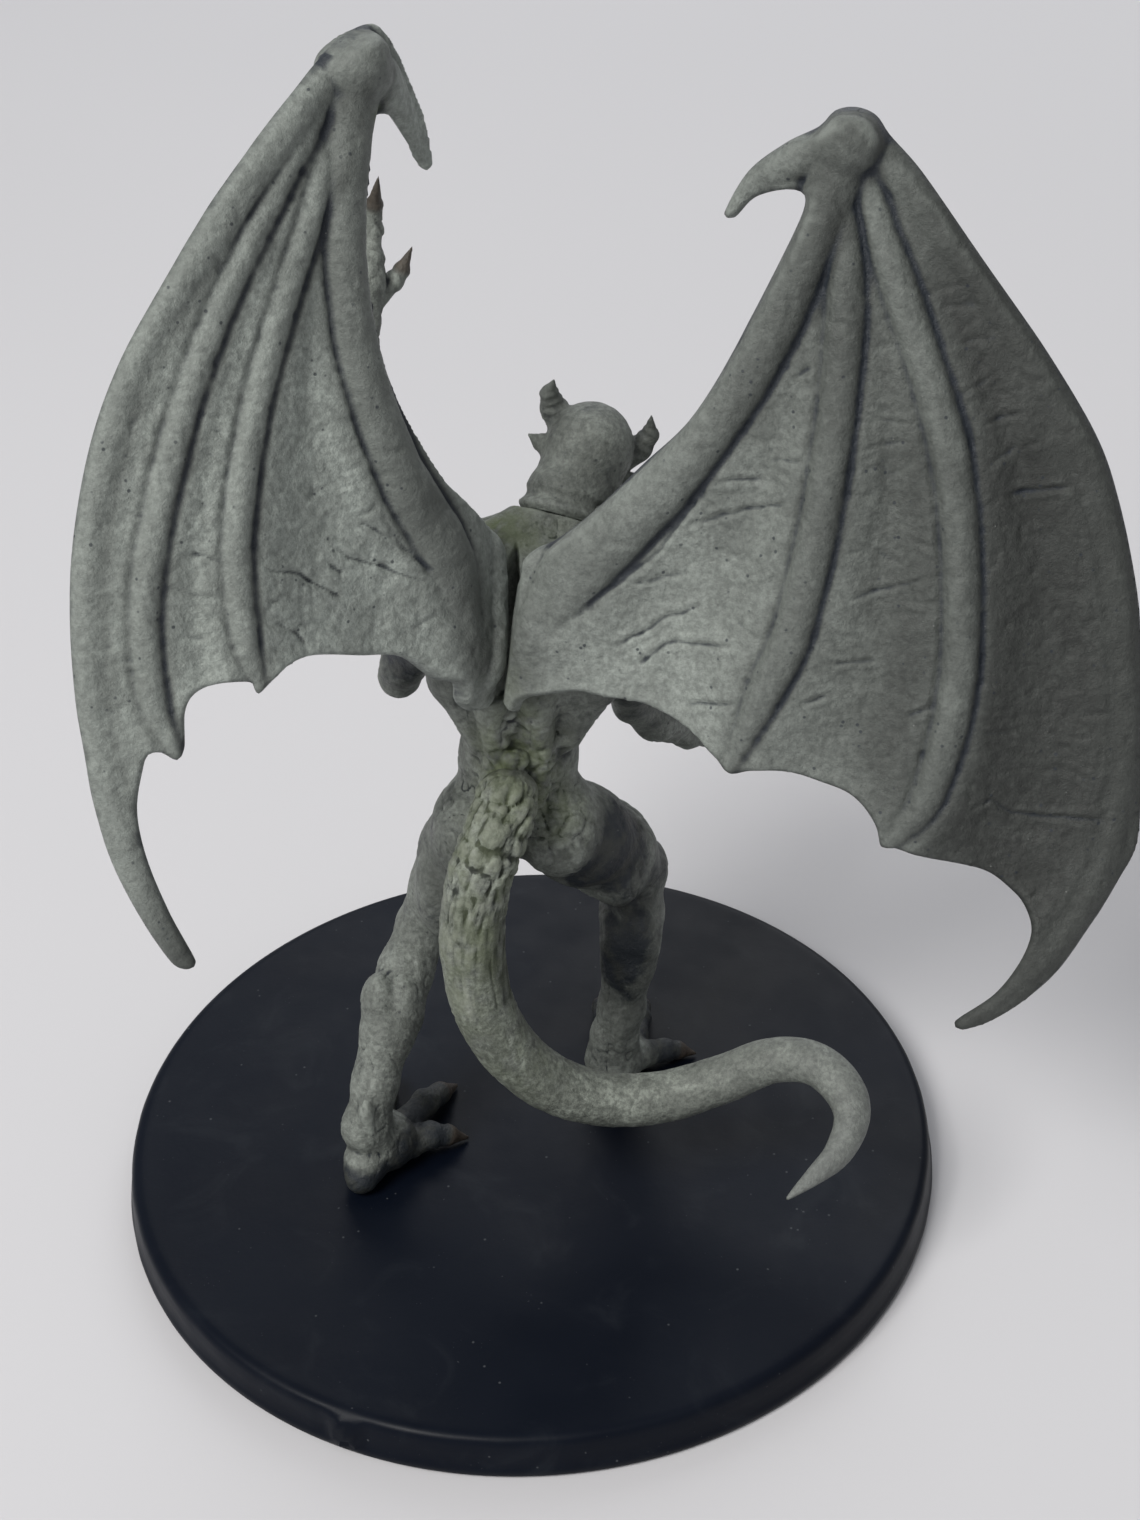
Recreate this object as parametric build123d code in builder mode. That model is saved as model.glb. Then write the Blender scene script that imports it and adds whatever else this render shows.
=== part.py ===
from build123d import *
import os

os.makedirs("parts", exist_ok=True)

# ---------------------------------------------------------------- dimensions (mm)
# Frame: origin at the centre of the underside of the base, +Z up.
# The figure faces -Y, so its back, wings and tail are on the +Y side and
# its own left hand side is +X.
base_bottom_radius = 25.0        # 50 mm round gaming base
base_top_radius = 24.65
base_height = 2.77
base_edge_bevel = 0.30
gate_nub_radius = 1.1            # trimmed moulding gate left on the rim

peg_clearance = 0.05             # radial gap of every plug-in peg
seat_gap = 0.02                  # gap across the wing seats
foot_peg_radius = 1.1
foot_peg_depth = 1.6
wing_peg_radius = 1.0
wing_peg_depth = 3.0
tail_peg_radius = 0.8
tail_peg_depth = 2.2
neck_peg_radius = 1.0
neck_peg_depth = 1.8

wing_skin = 0.9                  # membrane thickness
wing_low_z, wing_high_z = 20.0, 76.0

# curved back surface of each wing: y = y0 + lean*(66 - z) + sweep*u - cup*u*u,
# u being the distance out from the spine
spine_x = 0.3
right_surface = (-6.6083, 0.3196, 0.7569, 0.0133)
left_surface = (-6.8025, 0.3103, 1.2151, 0.0307)

# outlines of the wings seen from behind, (x, z)
right_outline = [
    (-0.4, 35.7), (-1.1, 36.7), (-2.4, 37.4), (-3.9, 37.9), (-5.1, 37.9), (-6.9, 38.0),
    (-8.6, 37.5), (-9.9, 36.7), (-10.5, 36.2), (-11.1, 35.6), (-12.3, 36.0), (-13.9, 36.1),
    (-15.4, 35.8), (-17.0, 35.3), (-18.1, 34.2), (-18.4, 33.0), (-19.0, 33.0), (-21.0, 32.5),
    (-23.5, 31.9), (-24.8, 31.0), (-25.5, 30.2), (-25.8, 29.0), (-25.3, 27.5), (-24.0, 25.7),
    (-22.0, 24.1), (-22.4, 23.7), (-24.3, 24.5), (-26.8, 26.5), (-28.8, 29.2), (-30.1, 31.3),
    (-31.1, 33.2), (-31.3, 36.3), (-31.2, 40.2), (-30.9, 44.1), (-30.4, 47.0), (-29.6, 50.1),
    (-28.5, 52.9), (-26.2, 56.6), (-23.2, 60.7), (-20.4, 64.5), (-18.3, 66.6), (-17.5, 67.0),
    (-16.4, 66.4), (-15.2, 63.4), (-15.0, 62.6), (-13.4, 59.0), (-11.5, 55.4), (-9.7, 52.5),
    (-7.5, 50.1), (-5.1, 47.4), (-3.2, 45.5), (-1.9, 44.5), (-1.2, 42.6), (-0.6, 40.9),
    (-0.1, 38.4), (-0.1, 36.6)]
left_outline = [
    (1.5, 36.1), (2.3, 37.1), (2.6, 38.3), (3.5, 39.1), (4.0, 39.8), (5.0, 41.1),
    (6.7, 42.0), (9.1, 43.1), (10.5, 43.2), (11.3, 42.8), (12.0, 42.4), (12.2, 43.0),
    (12.6, 43.2), (13.6, 43.4), (14.9, 43.2), (15.4, 42.5), (15.6, 40.8), (16.0, 40.3),
    (16.7, 40.8), (17.3, 40.8), (17.6, 40.2), (18.1, 38.2), (17.9, 35.8), (17.1, 32.9),
    (16.1, 30.2), (16.5, 29.9), (17.2, 30.3), (18.4, 32.6), (19.5, 35.5), (20.1, 38.4),
    (20.3, 41.3), (20.4, 43.9), (20.2, 47.7), (19.6, 51.3), (18.4, 55.2), (16.9, 58.3),
    (15.1, 60.9), (12.6, 64.0), (10.5, 66.2), (8.4, 68.1), (6.0, 69.8), (4.1, 69.8),
    (4.0, 68.4), (4.3, 65.8), (4.8, 65.7), (5.0, 64.0), (5.4, 61.4), (5.3, 58.1),
    (5.0, 55.6), (4.2, 52.6), (2.7, 48.8), (1.5, 46.9), (0.2, 44.6), (-0.5, 43.0),
    (0.1, 40.6), (0.8, 38.2), (0.9, 36.0)]

# centre lines of the raised wing bones: x, y, z, radius
right_bones = {
    "outer": [(-17.5, 2.9, 66.0, 1.1), (-20.2, 4.2, 63.6, 1.0), (-25.3, 7.3, 56.5, 0.95),
              (-28.7, 9.4, 50.2, 0.9), (-30.1, 11.6, 43.0, 0.85), (-30.3, 13.6, 36.6, 0.8),
              (-29.2, 15.2, 31.8, 0.75), (-26.0, 16.6, 27.1, 0.6), (-22.4, 17.2, 24.1, 0.3)],
    "middle": [(-17.9, 3.5, 64.2, 0.95), (-19.7, 5.7, 58.7, 1.0), (-21.7, 8.1, 52.2, 1.0),
               (-22.3, 10.4, 45.3, 1.0), (-21.9, 12.1, 40.0, 1.0), (-20.6, 13.3, 35.6, 0.9),
               (-18.9, 13.6, 33.3, 0.45)],
    "inner": [(-16.9, 3.4, 64.0, 0.95), (-16.9, 5.5, 56.9, 1.0), (-16.0, 7.4, 50.1, 1.05),
              (-14.4, 9.0, 43.4, 1.1), (-12.9, 9.5, 39.9, 1.0), (-11.1, 10.0, 35.9, 0.5)],
    "arm": [(-17.2, 2.8, 65.8, 1.3), (-15.0, 3.4, 61.2, 1.25), (-11.8, 4.2, 54.6, 1.3),
            (-7.6, 3.9, 49.0, 1.5), (-4.2, 3.2, 45.0, 1.7), (-2.3, 2.9, 41.0, 1.6)],
    "claw": [(-17.2, 2.9, 65.8, 1.5), (-15.6, 2.6, 65.3, 1.2), (-14.3, 2.4, 64.7, 0.95),
             (-13.1, 2.1, 63.9, 0.65), (-12.2, 2.0, 63.0, 0.4), (-11.7, 2.0, 62.2, 0.15)]}
left_bones = {
    "outer": [(5.4, -2.1, 68.9, 1.1), (7.9, 0.4, 67.4, 1.0), (12.0, 4.1, 63.4, 0.9),
              (16.2, 7.3, 58.1, 0.85), (18.8, 9.8, 51.3, 0.85), (19.6, 12.1, 44.2, 0.8),
              (19.2, 13.8, 38.8, 0.75), (17.8, 15.4, 33.0, 0.6), (16.4, 16.1, 30.1, 0.3)],
    "middle": [(6.6, -0.6, 67.6, 0.9), (9.0, 1.9, 64.7, 0.9), (12.3, 5.4, 59.8, 0.9),
               (14.9, 8.2, 54.1, 0.9), (16.6, 10.4, 48.3, 0.95), (16.8, 12.0, 43.4, 0.85),
               (15.9, 12.6, 40.6, 0.4)],
    "inner": [(6.2, -0.6, 67.4, 0.9), (7.5, 1.3, 63.7, 0.9), (10.4, 5.3, 57.0, 0.9),
              (12.2, 8.2, 50.6, 0.95), (12.4, 9.9, 45.6, 0.85), (11.9, 10.5, 42.7, 0.4)],
    "arm": [(5.4, -2.0, 68.6, 1.3), (6.2, 0.2, 63.2, 1.2), (6.0, 2.2, 57.0, 1.25),
            (4.4, 2.5, 50.3, 1.4), (2.6, 2.0, 45.4, 1.5), (1.9, 2.4, 41.0, 1.3)],
    "claw": [(5.4, -1.9, 68.6, 1.4), (4.3, -2.6, 67.5, 1.15), (3.4, -3.1, 66.3, 0.9),
             (2.7, -3.4, 65.0, 0.65), (2.3, -3.4, 64.0, 0.4), (2.1, -3.4, 63.1, 0.15)]}

# torso sections: centre x, y, z, half width, half depth
torso_sections = [
    (0.2, -1.3, 23.2, 2.0, 1.8), (-0.2, -1.2, 26.0, 4.1, 3.3), (-0.6, -1.0, 29.2, 3.5, 3.0),
    (-0.8, -1.0, 31.8, 3.2, 2.8), (-1.1, -1.5, 35.0, 4.8, 4.0), (-1.5, -2.4, 38.5, 6.0, 4.5),
    (-2.2, -3.5, 41.0, 5.4, 3.7), (-3.3, -4.7, 43.0, 2.1, 1.9)]
wing_pad_radius = 2.0
right_wing_peg = (-2.3, 40.3)    # x, z
left_wing_peg = (2.3, 40.3)
tail_seat_centre = (0.2, 29.6)   # x, z
tail_seat_y = 2.4
tail_seat_radius = 1.9

tail_line = [
    (0.2, 2.4, 29.6, 1.75), (0.5, 3.5, 29.2, 1.75), (1.3, 4.6, 27.9, 1.75),
    (2.2, 5.3, 25.8, 1.8), (2.7, 5.9, 22.0, 1.84), (2.3, 6.2, 18.2, 1.78),
    (1.0, 6.4, 14.6, 1.73), (-1.2, 6.6, 11.9, 1.68), (-4.2, 6.6, 10.3, 1.6),
    (-7.6, 6.6, 10.1, 1.52), (-11.2, 6.7, 11.3, 1.42), (-14.0, 7.0, 12.8, 1.32),
    (-16.3, 7.9, 13.2, 1.25), (-17.8, 9.5, 12.7, 1.2), (-18.0, 11.2, 12.0, 1.05),
    (-17.0, 13.0, 11.2, 0.85), (-15.5, 14.2, 10.6, 0.56), (-14.0, 15.0, 9.9, 0.25)]

# head
neck_seat = (-3.75, -5.6, 43.3)
neck_direction = (-0.30, -0.55, 0.78)
skull_centre = (-5.3, -7.9, 44.9)
skull_radius = 2.7
face_direction = (-0.22, -0.95, -0.22)

left_leg_lines = [
    [(2.6, -0.6, 26.2, 2.9), (3.9, -1.0, 23.4, 3.1), (5.2, -2.2, 19.2, 2.7), (6.2, -3.0, 15.6, 2.2)],
    [(6.0, -3.2, 16.4, 2.0), (7.2, -1.0, 14.6, 2.2), (8.0, 1.4, 12.2, 1.9), (8.7, 3.2, 9.4, 1.35),
     (9.3, 3.6, 7.2, 1.35), (9.6, 3.0, 4.6, 1.7)]]
left_toes = [
    [(9.4, 3.2, 4.4, 1.6), (7.6, 1.2, 4.0, 1.2), (6.0, -0.8, 3.9, 1.0), (5.2, -2.0, 3.5, 0.7), (4.6, -3.0, 3.0, 0.15)],
    [(9.6, 3.2, 4.4, 1.6), (9.3, 0.8, 4.0, 1.2), (8.9, -1.5, 3.9, 1.0), (8.7, -3.0, 3.5, 0.7), (8.6, -4.2, 3.0, 0.15)],
    [(9.4, 3.4, 4.4, 1.6), (7.2, 2.8, 4.0, 1.15), (5.4, 2.2, 3.8, 0.95), (4.2, 2.0, 3.5, 0.65), (3.2, 1.6, 3.0, 0.15)],
    [(9.6, 3.2, 4.6, 1.5), (10.2, 4.4, 4.2, 1.3), (10.6, 5.4, 3.6, 0.9)]]
left_foot_peg = (9.4, 3.0)
right_leg_lines = [
    [(-2.4, -0.9, 25.8, 2.9), (-3.8, -1.6, 23.4, 3.1), (-5.6, -3.4, 20.6, 2.7), (-7.2, -5.0, 17.9, 2.2)],
    [(-7.1, -5.3, 18.8, 1.9), (-6.9, -4.0, 15.8, 2.1), (-6.6, -3.2, 12.6, 1.8), (-6.2, -3.0, 9.0, 1.35),
     (-5.9, -3.0, 6.8, 1.35), (-6.0, -3.2, 4.6, 1.7)]]
right_toes = [
    [(-6.0, -3.2, 4.4, 1.6), (-8.0, -3.8, 4.1, 1.2), (-9.8, -4.3, 3.9, 0.95), (-11.0, -4.5, 3.5, 0.65), (-12.0, -4.6, 3.0, 0.15)],
    [(-6.0, -3.4, 4.4, 1.6), (-7.2, -5.6, 4.1, 1.2), (-8.2, -7.6, 3.9, 1.0), (-8.8, -9.0, 3.5, 0.7), (-9.2, -10.2, 3.0, 0.15)],
    [(-6.0, -3.4, 4.4, 1.6), (-5.2, -5.8, 4.1, 1.2), (-4.6, -7.8, 3.9, 1.0), (-4.3, -9.2, 3.5, 0.7), (-4.1, -10.4, 3.0, 0.15)],
    [(-6.0, -3.2, 4.6, 1.5), (-5.4, -2.0, 4.2, 1.3), (-5.0, -1.0, 3.6, 0.9)]]
right_foot_peg = (-6.0, -3.3)

# arms: shoulder to wrist stations, then the fingers
upper_left_arm_lines = [
    [(1.4, -3.6, 41.3, 2.0), (4.4, -5.6, 41.6, 1.9), (6.6, -8.6, 41.4, 1.5), (7.5, -11.0, 41.6, 1.4)],
    [(7.5, -10.6, 41.2, 1.4), (7.5, -12.4, 43.6, 1.5), (7.0, -14.2, 47.0, 1.2), (6.5, -15.4, 50.0, 0.95)]]
upper_left_fingers = [
    [(6.5, -15.2, 49.6, 1.0), (6.3, -16.0, 52.0, 1.2), (6.0, -16.6, 53.6, 1.1)],
    [(6.1, -16.2, 52.6, 0.75), (5.8, -17.0, 54.8, 0.6), (5.4, -16.6, 56.6, 0.45), (5.2, -15.9, 58.0, 0.1)],
    [(6.5, -16.2, 52.6, 0.75), (7.0, -17.2, 54.9, 0.6), (6.9, -16.8, 56.8, 0.45), (6.6, -16.0, 58.2, 0.1)],
    [(6.9, -15.8, 52.2, 0.75), (8.2, -16.6, 54.2, 0.6), (8.4, -16.2, 56.0, 0.45), (8.2, -15.4, 57.2, 0.1)],
    [(6.0, -15.8, 50.8, 0.75), (4.8, -16.6, 51.8, 0.6), (4.2, -16.9, 52.4, 0.4), (3.8, -17.0, 53.2, 0.1)]]
upper_right_arm_lines = [
    [(-4.8, -3.8, 40.9, 2.0), (-8.0, -4.8, 41.0, 1.9), (-11.0, -7.4, 40.6, 1.5), (-12.2, -9.6, 40.8, 1.4)],
    [(-12.2, -9.2, 40.4, 1.4), (-13.6, -10.6, 42.4, 1.5), (-15.8, -12.0, 45.2, 1.2), (-17.2, -12.8, 47.6, 0.95)]]
upper_right_fingers = [
    [(-17.0, -12.7, 47.2, 1.0), (-18.2, -13.4, 49.2, 1.2), (-18.8, -13.8, 50.4, 1.1)],
    [(-18.4, -13.8, 49.8, 0.75), (-18.4, -14.6, 52.0, 0.6), (-18.2, -14.2, 53.6, 0.45), (-18.0, -13.4, 54.8, 0.1)],
    [(-18.8, -13.7, 49.8, 0.75), (-19.7, -14.4, 51.8, 0.6), (-19.9, -14.0, 53.4, 0.45), (-19.8, -13.2, 54.6, 0.1)],
    [(-19.0, -13.3, 49.4, 0.75), (-20.8, -13.6, 51.0, 0.6), (-21.4, -13.2, 52.4, 0.45), (-21.6, -12.4, 53.4, 0.1)],
    [(-17.6, -13.4, 48.4, 0.75), (-16.8, -14.6, 49.2, 0.6), (-16.4, -15.0, 50.2, 0.4), (-16.2, -15.0, 51.2, 0.1)]]
lower_left_arm_lines = [
    [(1.8, -3.6, 37.0, 1.9), (4.4, -4.8, 35.2, 1.7), (5.7, -6.2, 32.8, 1.45), (6.0, -7.4, 31.3, 1.4)],
    [(6.0, -7.0, 31.4, 1.4), (5.7, -9.2, 31.2, 1.5), (5.0, -11.8, 31.8, 1.2), (4.4, -13.8, 32.6, 0.95)]]
lower_left_fingers = [
    [(4.5, -13.4, 32.4, 1.0), (4.0, -15.2, 33.2, 1.2), (3.7, -16.2, 33.6, 1.1)],
    [(3.4, -15.8, 34.2, 0.7), (2.8, -17.6, 35.2, 0.55), (2.2, -18.6, 34.8, 0.4), (1.8, -19.2, 33.8, 0.1)],
    [(3.8, -16.0, 33.6, 0.7), (3.6, -18.2, 34.0, 0.55), (3.2, -19.2, 33.4, 0.4), (2.8, -19.6, 32.4, 0.1)],
    [(4.2, -15.8, 32.8, 0.7), (4.4, -17.8, 32.6, 0.55), (4.0, -18.8, 31.9, 0.4), (3.6, -19.1, 31.0, 0.1)],
    [(3.8, -14.4, 33.8, 0.7), (2.6, -15.2, 35.0, 0.5), (1.8, -16.0, 35.0, 0.35), (1.2, -16.6, 34.4, 0.1)]]
lower_right_arm_lines = [
    [(-4.4, -3.8, 36.4, 1.9), (-6.4, -4.8, 33.6, 1.7), (-7.2, -5.6, 31.0, 1.45), (-7.4, -6.4, 29.2, 1.4)],
    [(-7.2, -6.0, 29.4, 1.4), (-8.8, -7.6, 27.2, 1.5), (-10.8, -9.4, 24.8, 1.2), (-12.2, -10.8, 23.6, 0.95)]]
lower_right_fingers = [
    [(-12.0, -10.6, 23.7, 1.0), (-13.4, -12.2, 23.8, 1.2), (-14.2, -13.2, 24.2, 1.1)],
    [(-13.6, -13.2, 24.9, 0.7), (-13.8, -14.8, 26.3, 0.55), (-13.6, -15.8, 26.2, 0.4), (-13.2, -16.6, 25.4, 0.1)],
    [(-14.2, -13.0, 24.4, 0.7), (-15.2, -14.6, 25.4, 0.55), (-15.4, -15.6, 25.0, 0.4), (-15.2, -16.4, 24.2, 0.1)],
    [(-14.4, -12.8, 23.6, 0.7), (-15.8, -14.0, 24.0, 0.55), (-16.2, -14.9, 23.4, 0.4), (-16.0, -15.5, 22.6, 0.1)],
    [(-12.8, -12.2, 24.8, 0.7), (-12.2, -13.4, 26.2, 0.5), (-11.6, -14.2, 26.4, 0.35), (-11.2, -15.0, 26.0, 0.1)]]


# ---------------------------------------------------------------- shared shapes
def tapered(stations, side=Vector(1, 0.13, 0.07)):
    """A smooth round limb through stations of x, y, z, radius, with a domed start."""
    points = [Vector(*s[:3]) for s in stations]
    with BuildPart() as limb:
        last = len(points) - 1
        for i, point in enumerate(points):
            along = (points[min(i + 1, last)] - points[max(i - 1, 0)]).normalized()
            across = (side - along * side.dot(along)).normalized()
            with BuildSketch(Plane(origin=point, x_dir=across, z_dir=along)):
                Circle(stations[i][3])
        loft()
    return limb.part


def ball(stations_end):
    """A round knuckle at a station."""
    x, y, z, r = stations_end
    with BuildPart() as knuckle:
        with Locations((x, y, z)):
            Sphere(r)
    return knuckle.part


def surface_y(surface, x, z):
    y0, lean, sweep, cup = surface
    u = abs(x - spine_x)
    return y0 + lean * (66 - z) + sweep * u - cup * u * u


def wing_slab(surface, sign, depth_front, depth_back):
    """The curved sheet a wing lies in, from its back surface forward."""
    y0, lean, sweep, cup = surface
    reach = 34.0

    def edge(offset):
        points = []
        for k in range(9):
            u = -1.6 + (reach + 1.6) * k / 8
            points.append((spine_x + sign * u, y0 + lean * (66 - wing_low_z) + sweep * u - cup * u * u + offset))
        return points

    with BuildPart() as slab:
        with BuildSketch(Plane.XY.offset(wing_low_z)):
            with BuildLine():
                back = Spline(*edge(depth_back))
                front = Spline(*edge(-depth_front))
                Line(back @ 0, front @ 0)
                Line(back @ 1, front @ 1)
            make_face()
        rise = wing_high_z - wing_low_z
        extrude(amount=rise * (1 + lean * lean) ** 0.5, dir=(0, -lean, 1))
    return slab.part


def root_trim(surface, sign):
    """The space in front of a wing seat, around the upper back."""
    with BuildPart() as trim:
        add(wing_slab(surface, sign, 9.0, -wing_skin))
        with Locations((spine_x + sign * 3.5, 0, 39.6)):
            Box(10.4, 60, 12.4, mode=Mode.INTERSECT)
    return trim.part


def wing(surface, sign, outline, bones, peg):
    """One complete wing: membrane, four raised bones, wrist claw and plug."""
    with BuildPart() as built:
        add(wing_slab(surface, sign, wing_skin, 0.0))
        with BuildSketch(Plane.XZ):
            with BuildLine():
                Polyline(*outline, close=True)
            make_face()
        extrude(amount=60, both=True, mode=Mode.INTERSECT)
        for name in ("outer", "middle", "inner", "arm", "claw"):
            add(tapered(bones[name]))
        wrist = bones["claw"][0]
        with Locations(wrist[:3]):
            Sphere(wrist[3] * 1.08)
        # the root is cut back to the seat surface where it meets the torso
        add(root_trim(surface, sign), mode=Mode.SUBTRACT)
        y_peg = surface_y(surface, peg[0], peg[1]) - wing_skin
        with BuildSketch(Plane.XZ.offset(-y_peg - 0.4)):
            with Locations(peg):
                Circle(wing_peg_radius)
        extrude(amount=0.4 + wing_peg_depth)
    return built.part


def hand(fingers):
    with BuildPart() as built:
        add(ball(fingers[0][-1]))
        for finger in fingers:
            add(tapered(finger))
    return built.part


# ---------------------------------------------------------------- base disc
with BuildPart() as base_disc:
    with Locations((0, 0, base_height / 2)):
        Cone(base_bottom_radius, base_top_radius, base_height)
    chamfer(base_disc.edges().filter_by(GeomType.CIRCLE).sort_by(Axis.Z)[-1], base_edge_bevel)
    chamfer(base_disc.edges().filter_by(GeomType.CIRCLE).sort_by(Axis.Z)[0], 0.15)
    # trimmed gate on the rim
    with Locations((base_bottom_radius * 0.478, base_bottom_radius * 0.866, 1.35)):
        Cylinder(gate_nub_radius, 2.0)
    # the gate stays inside the rim circle plus a hair
    with Locations((0, 0, base_height / 2)):
        Cylinder(base_bottom_radius + 0.15, base_height, mode=Mode.INTERSECT)
    # holes for the foot pegs
    for peg in (left_foot_peg, right_foot_peg):
        with Locations((peg[0], peg[1], base_height)):
            Cylinder(foot_peg_radius + peg_clearance, 2 * (foot_peg_depth + 0.05), mode=Mode.SUBTRACT)
base_disc.part.label = "base_disc"

# ---------------------------------------------------------------- torso
with BuildPart() as torso:
    for x, y, z, half_width, half_depth in torso_sections:
        with BuildSketch(Plane(origin=(x, y, z), x_dir=(1, 0, 0), z_dir=(0, 0, 1))):
            Ellipse(half_width, half_depth)
    loft()
    # trapezius masses running from the shoulders up to the neck
    add(tapered([(1.4, -3.4, 41.0, 2.1), (-1.2, -4.0, 42.2, 1.9), (-3.4, -5.2, 43.0, 1.7)]))
    add(tapered([(-5.6, -4.0, 40.6, 2.1), (-4.6, -4.6, 41.8, 1.9), (-3.4, -5.2, 43.0, 1.7)]))
    # pads the wings plug on to
    for peg in (right_wing_peg, left_wing_peg):
        with BuildSketch(Plane.XZ.offset(3.0)):
            with Locations(peg):
                Circle(wing_pad_radius)
        extrude(amount=-7.5)
    # seat of the tail
    with BuildSketch(Plane.XZ.offset(0.5)):
        with Locations(tail_seat_centre):
            Circle(tail_seat_radius)
    extrude(amount=-(tail_seat_y + 0.5))
    # spine bumps above the tail
    for k, (x, z, r) in enumerate([(0.2, 32.2, 0.75), (0.1, 33.6, 0.65), (0.1, 34.9, 0.6)]):
        with Locations((x - 0.2, 1.9 + 0.35 * k, z)):
            Sphere(r)
    # clear the space behind both wing seats
    add(wing_slab(right_surface, -1, wing_skin + seat_gap, 14.0), mode=Mode.SUBTRACT)
    add(wing_slab(left_surface, 1, wing_skin + seat_gap, 14.0), mode=Mode.SUBTRACT)
    # flat seat of the neck
    neck_plane = Plane(origin=neck_seat, z_dir=neck_direction)
    with BuildSketch(neck_plane):
        Rectangle(12, 12)
    extrude(amount=8, mode=Mode.SUBTRACT)
    # sockets
    for surface, peg in ((right_surface, right_wing_peg), (left_surface, left_wing_peg)):
        y_seat = surface_y(surface, peg[0], peg[1]) - wing_skin
        with BuildSketch(Plane.XZ.offset(-y_seat - 2.0)):
            with Locations(peg):
                Circle(wing_peg_radius + peg_clearance)
        extrude(amount=2.0 + wing_peg_depth + 0.1, mode=Mode.SUBTRACT)
    with BuildSketch(Plane.XZ.offset(-tail_seat_y)):
        with Locations(tail_seat_centre):
            Circle(tail_peg_radius + peg_clearance)
    extrude(amount=tail_peg_depth + 0.1, mode=Mode.SUBTRACT)
    with BuildSketch(neck_plane):
        Circle(neck_peg_radius + peg_clearance)
    extrude(amount=-(neck_peg_depth + 0.1), mode=Mode.SUBTRACT)
torso.part.label = "torso"

# ---------------------------------------------------------------- head
with BuildPart() as head:
    with Locations(skull_centre):
        Sphere(skull_radius)
    add(tapered([(*neck_seat, 1.75), (-4.3, -6.5, 43.9, 1.8), (-5.1, -7.6, 44.6, 2.2)]))
    # muzzle and jaw
    add(tapered([(-5.3, -8.2, 44.6, 2.3), (-5.7, -9.8, 44.1, 1.9), (-5.95, -11.0, 43.75, 1.3), (-6.1, -11.6, 43.6, 0.8)]))
    add(tapered([(-5.0, -8.0, 43.4, 1.5), (-5.55, -9.8, 42.8, 1.25), (-5.85, -10.8, 42.7, 0.8)]))
    # brow ridge
    add(tapered([(-3.7, -9.6, 45.7, 0.5), (-5.4, -10.6, 45.75, 0.65), (-7.4, -9.9, 45.0, 0.5)], side=Vector(0, 0, 1)))
    # horns
    add(tapered([(-4.0, -8.9, 45.6, 1.0), (-3.4, -9.2, 47.0, 0.8), (-3.3, -9.0, 48.0, 0.5), (-3.6, -8.5, 48.9, 0.12)]))
    add(tapered([(-7.1, -8.9, 45.0, 1.0), (-8.3, -9.2, 45.7, 0.8), (-8.9, -9.1, 46.4, 0.5), (-9.1, -8.8, 47.2, 0.12)]))
    # ears
    add(tapered([(-3.2, -8.2, 44.9, 0.7), (-2.5, -8.3, 45.2, 0.5), (-1.9, -8.0, 45.8, 0.12)], side=Vector(0, 1, 0.1)))
    add(tapered([(-7.4, -8.2, 43.9, 0.7), (-8.4, -8.3, 43.9, 0.5), (-9.2, -8.0, 44.3, 0.12)], side=Vector(0, 1, 0.1)))
    # everything sits above the neck seat
    with BuildSketch(neck_plane):
        Rectangle(14, 14)
    extrude(amount=-6, mode=Mode.SUBTRACT)
    with BuildSketch(neck_plane):
        Circle(neck_peg_radius)
    extrude(amount=-neck_peg_depth)
head.part.label = "head"


# ---------------------------------------------------------------- legs
def swollen(station, factor):
    return (*station[:3], station[3] * factor)


def leg(lines, toes, peg):
    with BuildPart() as built:
        add(tapered(lines[0]))
        add(tapered(lines[1]))
        for toe in toes:
            add(tapered(toe))
        # flat sole standing on the base
        with Locations((0, 0, base_height - 5)):
            Box(80, 80, 10, mode=Mode.SUBTRACT)
        with Locations((peg[0], peg[1], base_height)):
            Cylinder(foot_peg_radius, foot_peg_depth, align=(Align.CENTER, Align.CENTER, Align.MAX))
        with Locations((peg[0], peg[1], base_height)):
            Cylinder(foot_peg_radius + 0.45, 1.5, align=(Align.CENTER, Align.CENTER, Align.MIN))
        add(ball(swollen(lines[0][0], 1.04)))
        add(ball(swollen(lines[0][-1], 1.08)))
        add(torso.part, mode=Mode.SUBTRACT)
    return built.part


with BuildPart() as left_leg:
    add(leg(left_leg_lines, left_toes, left_foot_peg))
left_leg.part.label = "left_leg"
with BuildPart() as right_leg:
    add(leg(right_leg_lines, right_toes, right_foot_peg))
    add(left_leg.part, mode=Mode.SUBTRACT)
right_leg.part.label = "right_leg"


# ---------------------------------------------------------------- arms
def arm(lines, fingers):
    with BuildPart() as built:
        add(tapered(lines[0]))
        add(ball(swollen(lines[0][-1], 1.04)))
        add(tapered(lines[1]))
        add(hand(fingers))
        add(torso.part, mode=Mode.SUBTRACT)
    return built.part


def largest(part):
    return part.solids().sort_by(SortBy.VOLUME)[-1]


with BuildPart() as upper_left_arm:
    add(largest(arm(upper_left_arm_lines, upper_left_fingers)))
upper_left_arm.part.label = "upper_left_arm"
with BuildPart() as upper_right_arm:
    add(largest(arm(upper_right_arm_lines, upper_right_fingers)))
upper_right_arm.part.label = "upper_right_arm"
with BuildPart() as lower_left_arm:
    add(largest(arm(lower_left_arm_lines, lower_left_fingers)))
lower_left_arm.part.label = "lower_left_arm"
with BuildPart() as lower_right_arm:
    add(largest(arm(lower_right_arm_lines, lower_right_fingers)))
lower_right_arm.part.label = "lower_right_arm"

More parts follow.
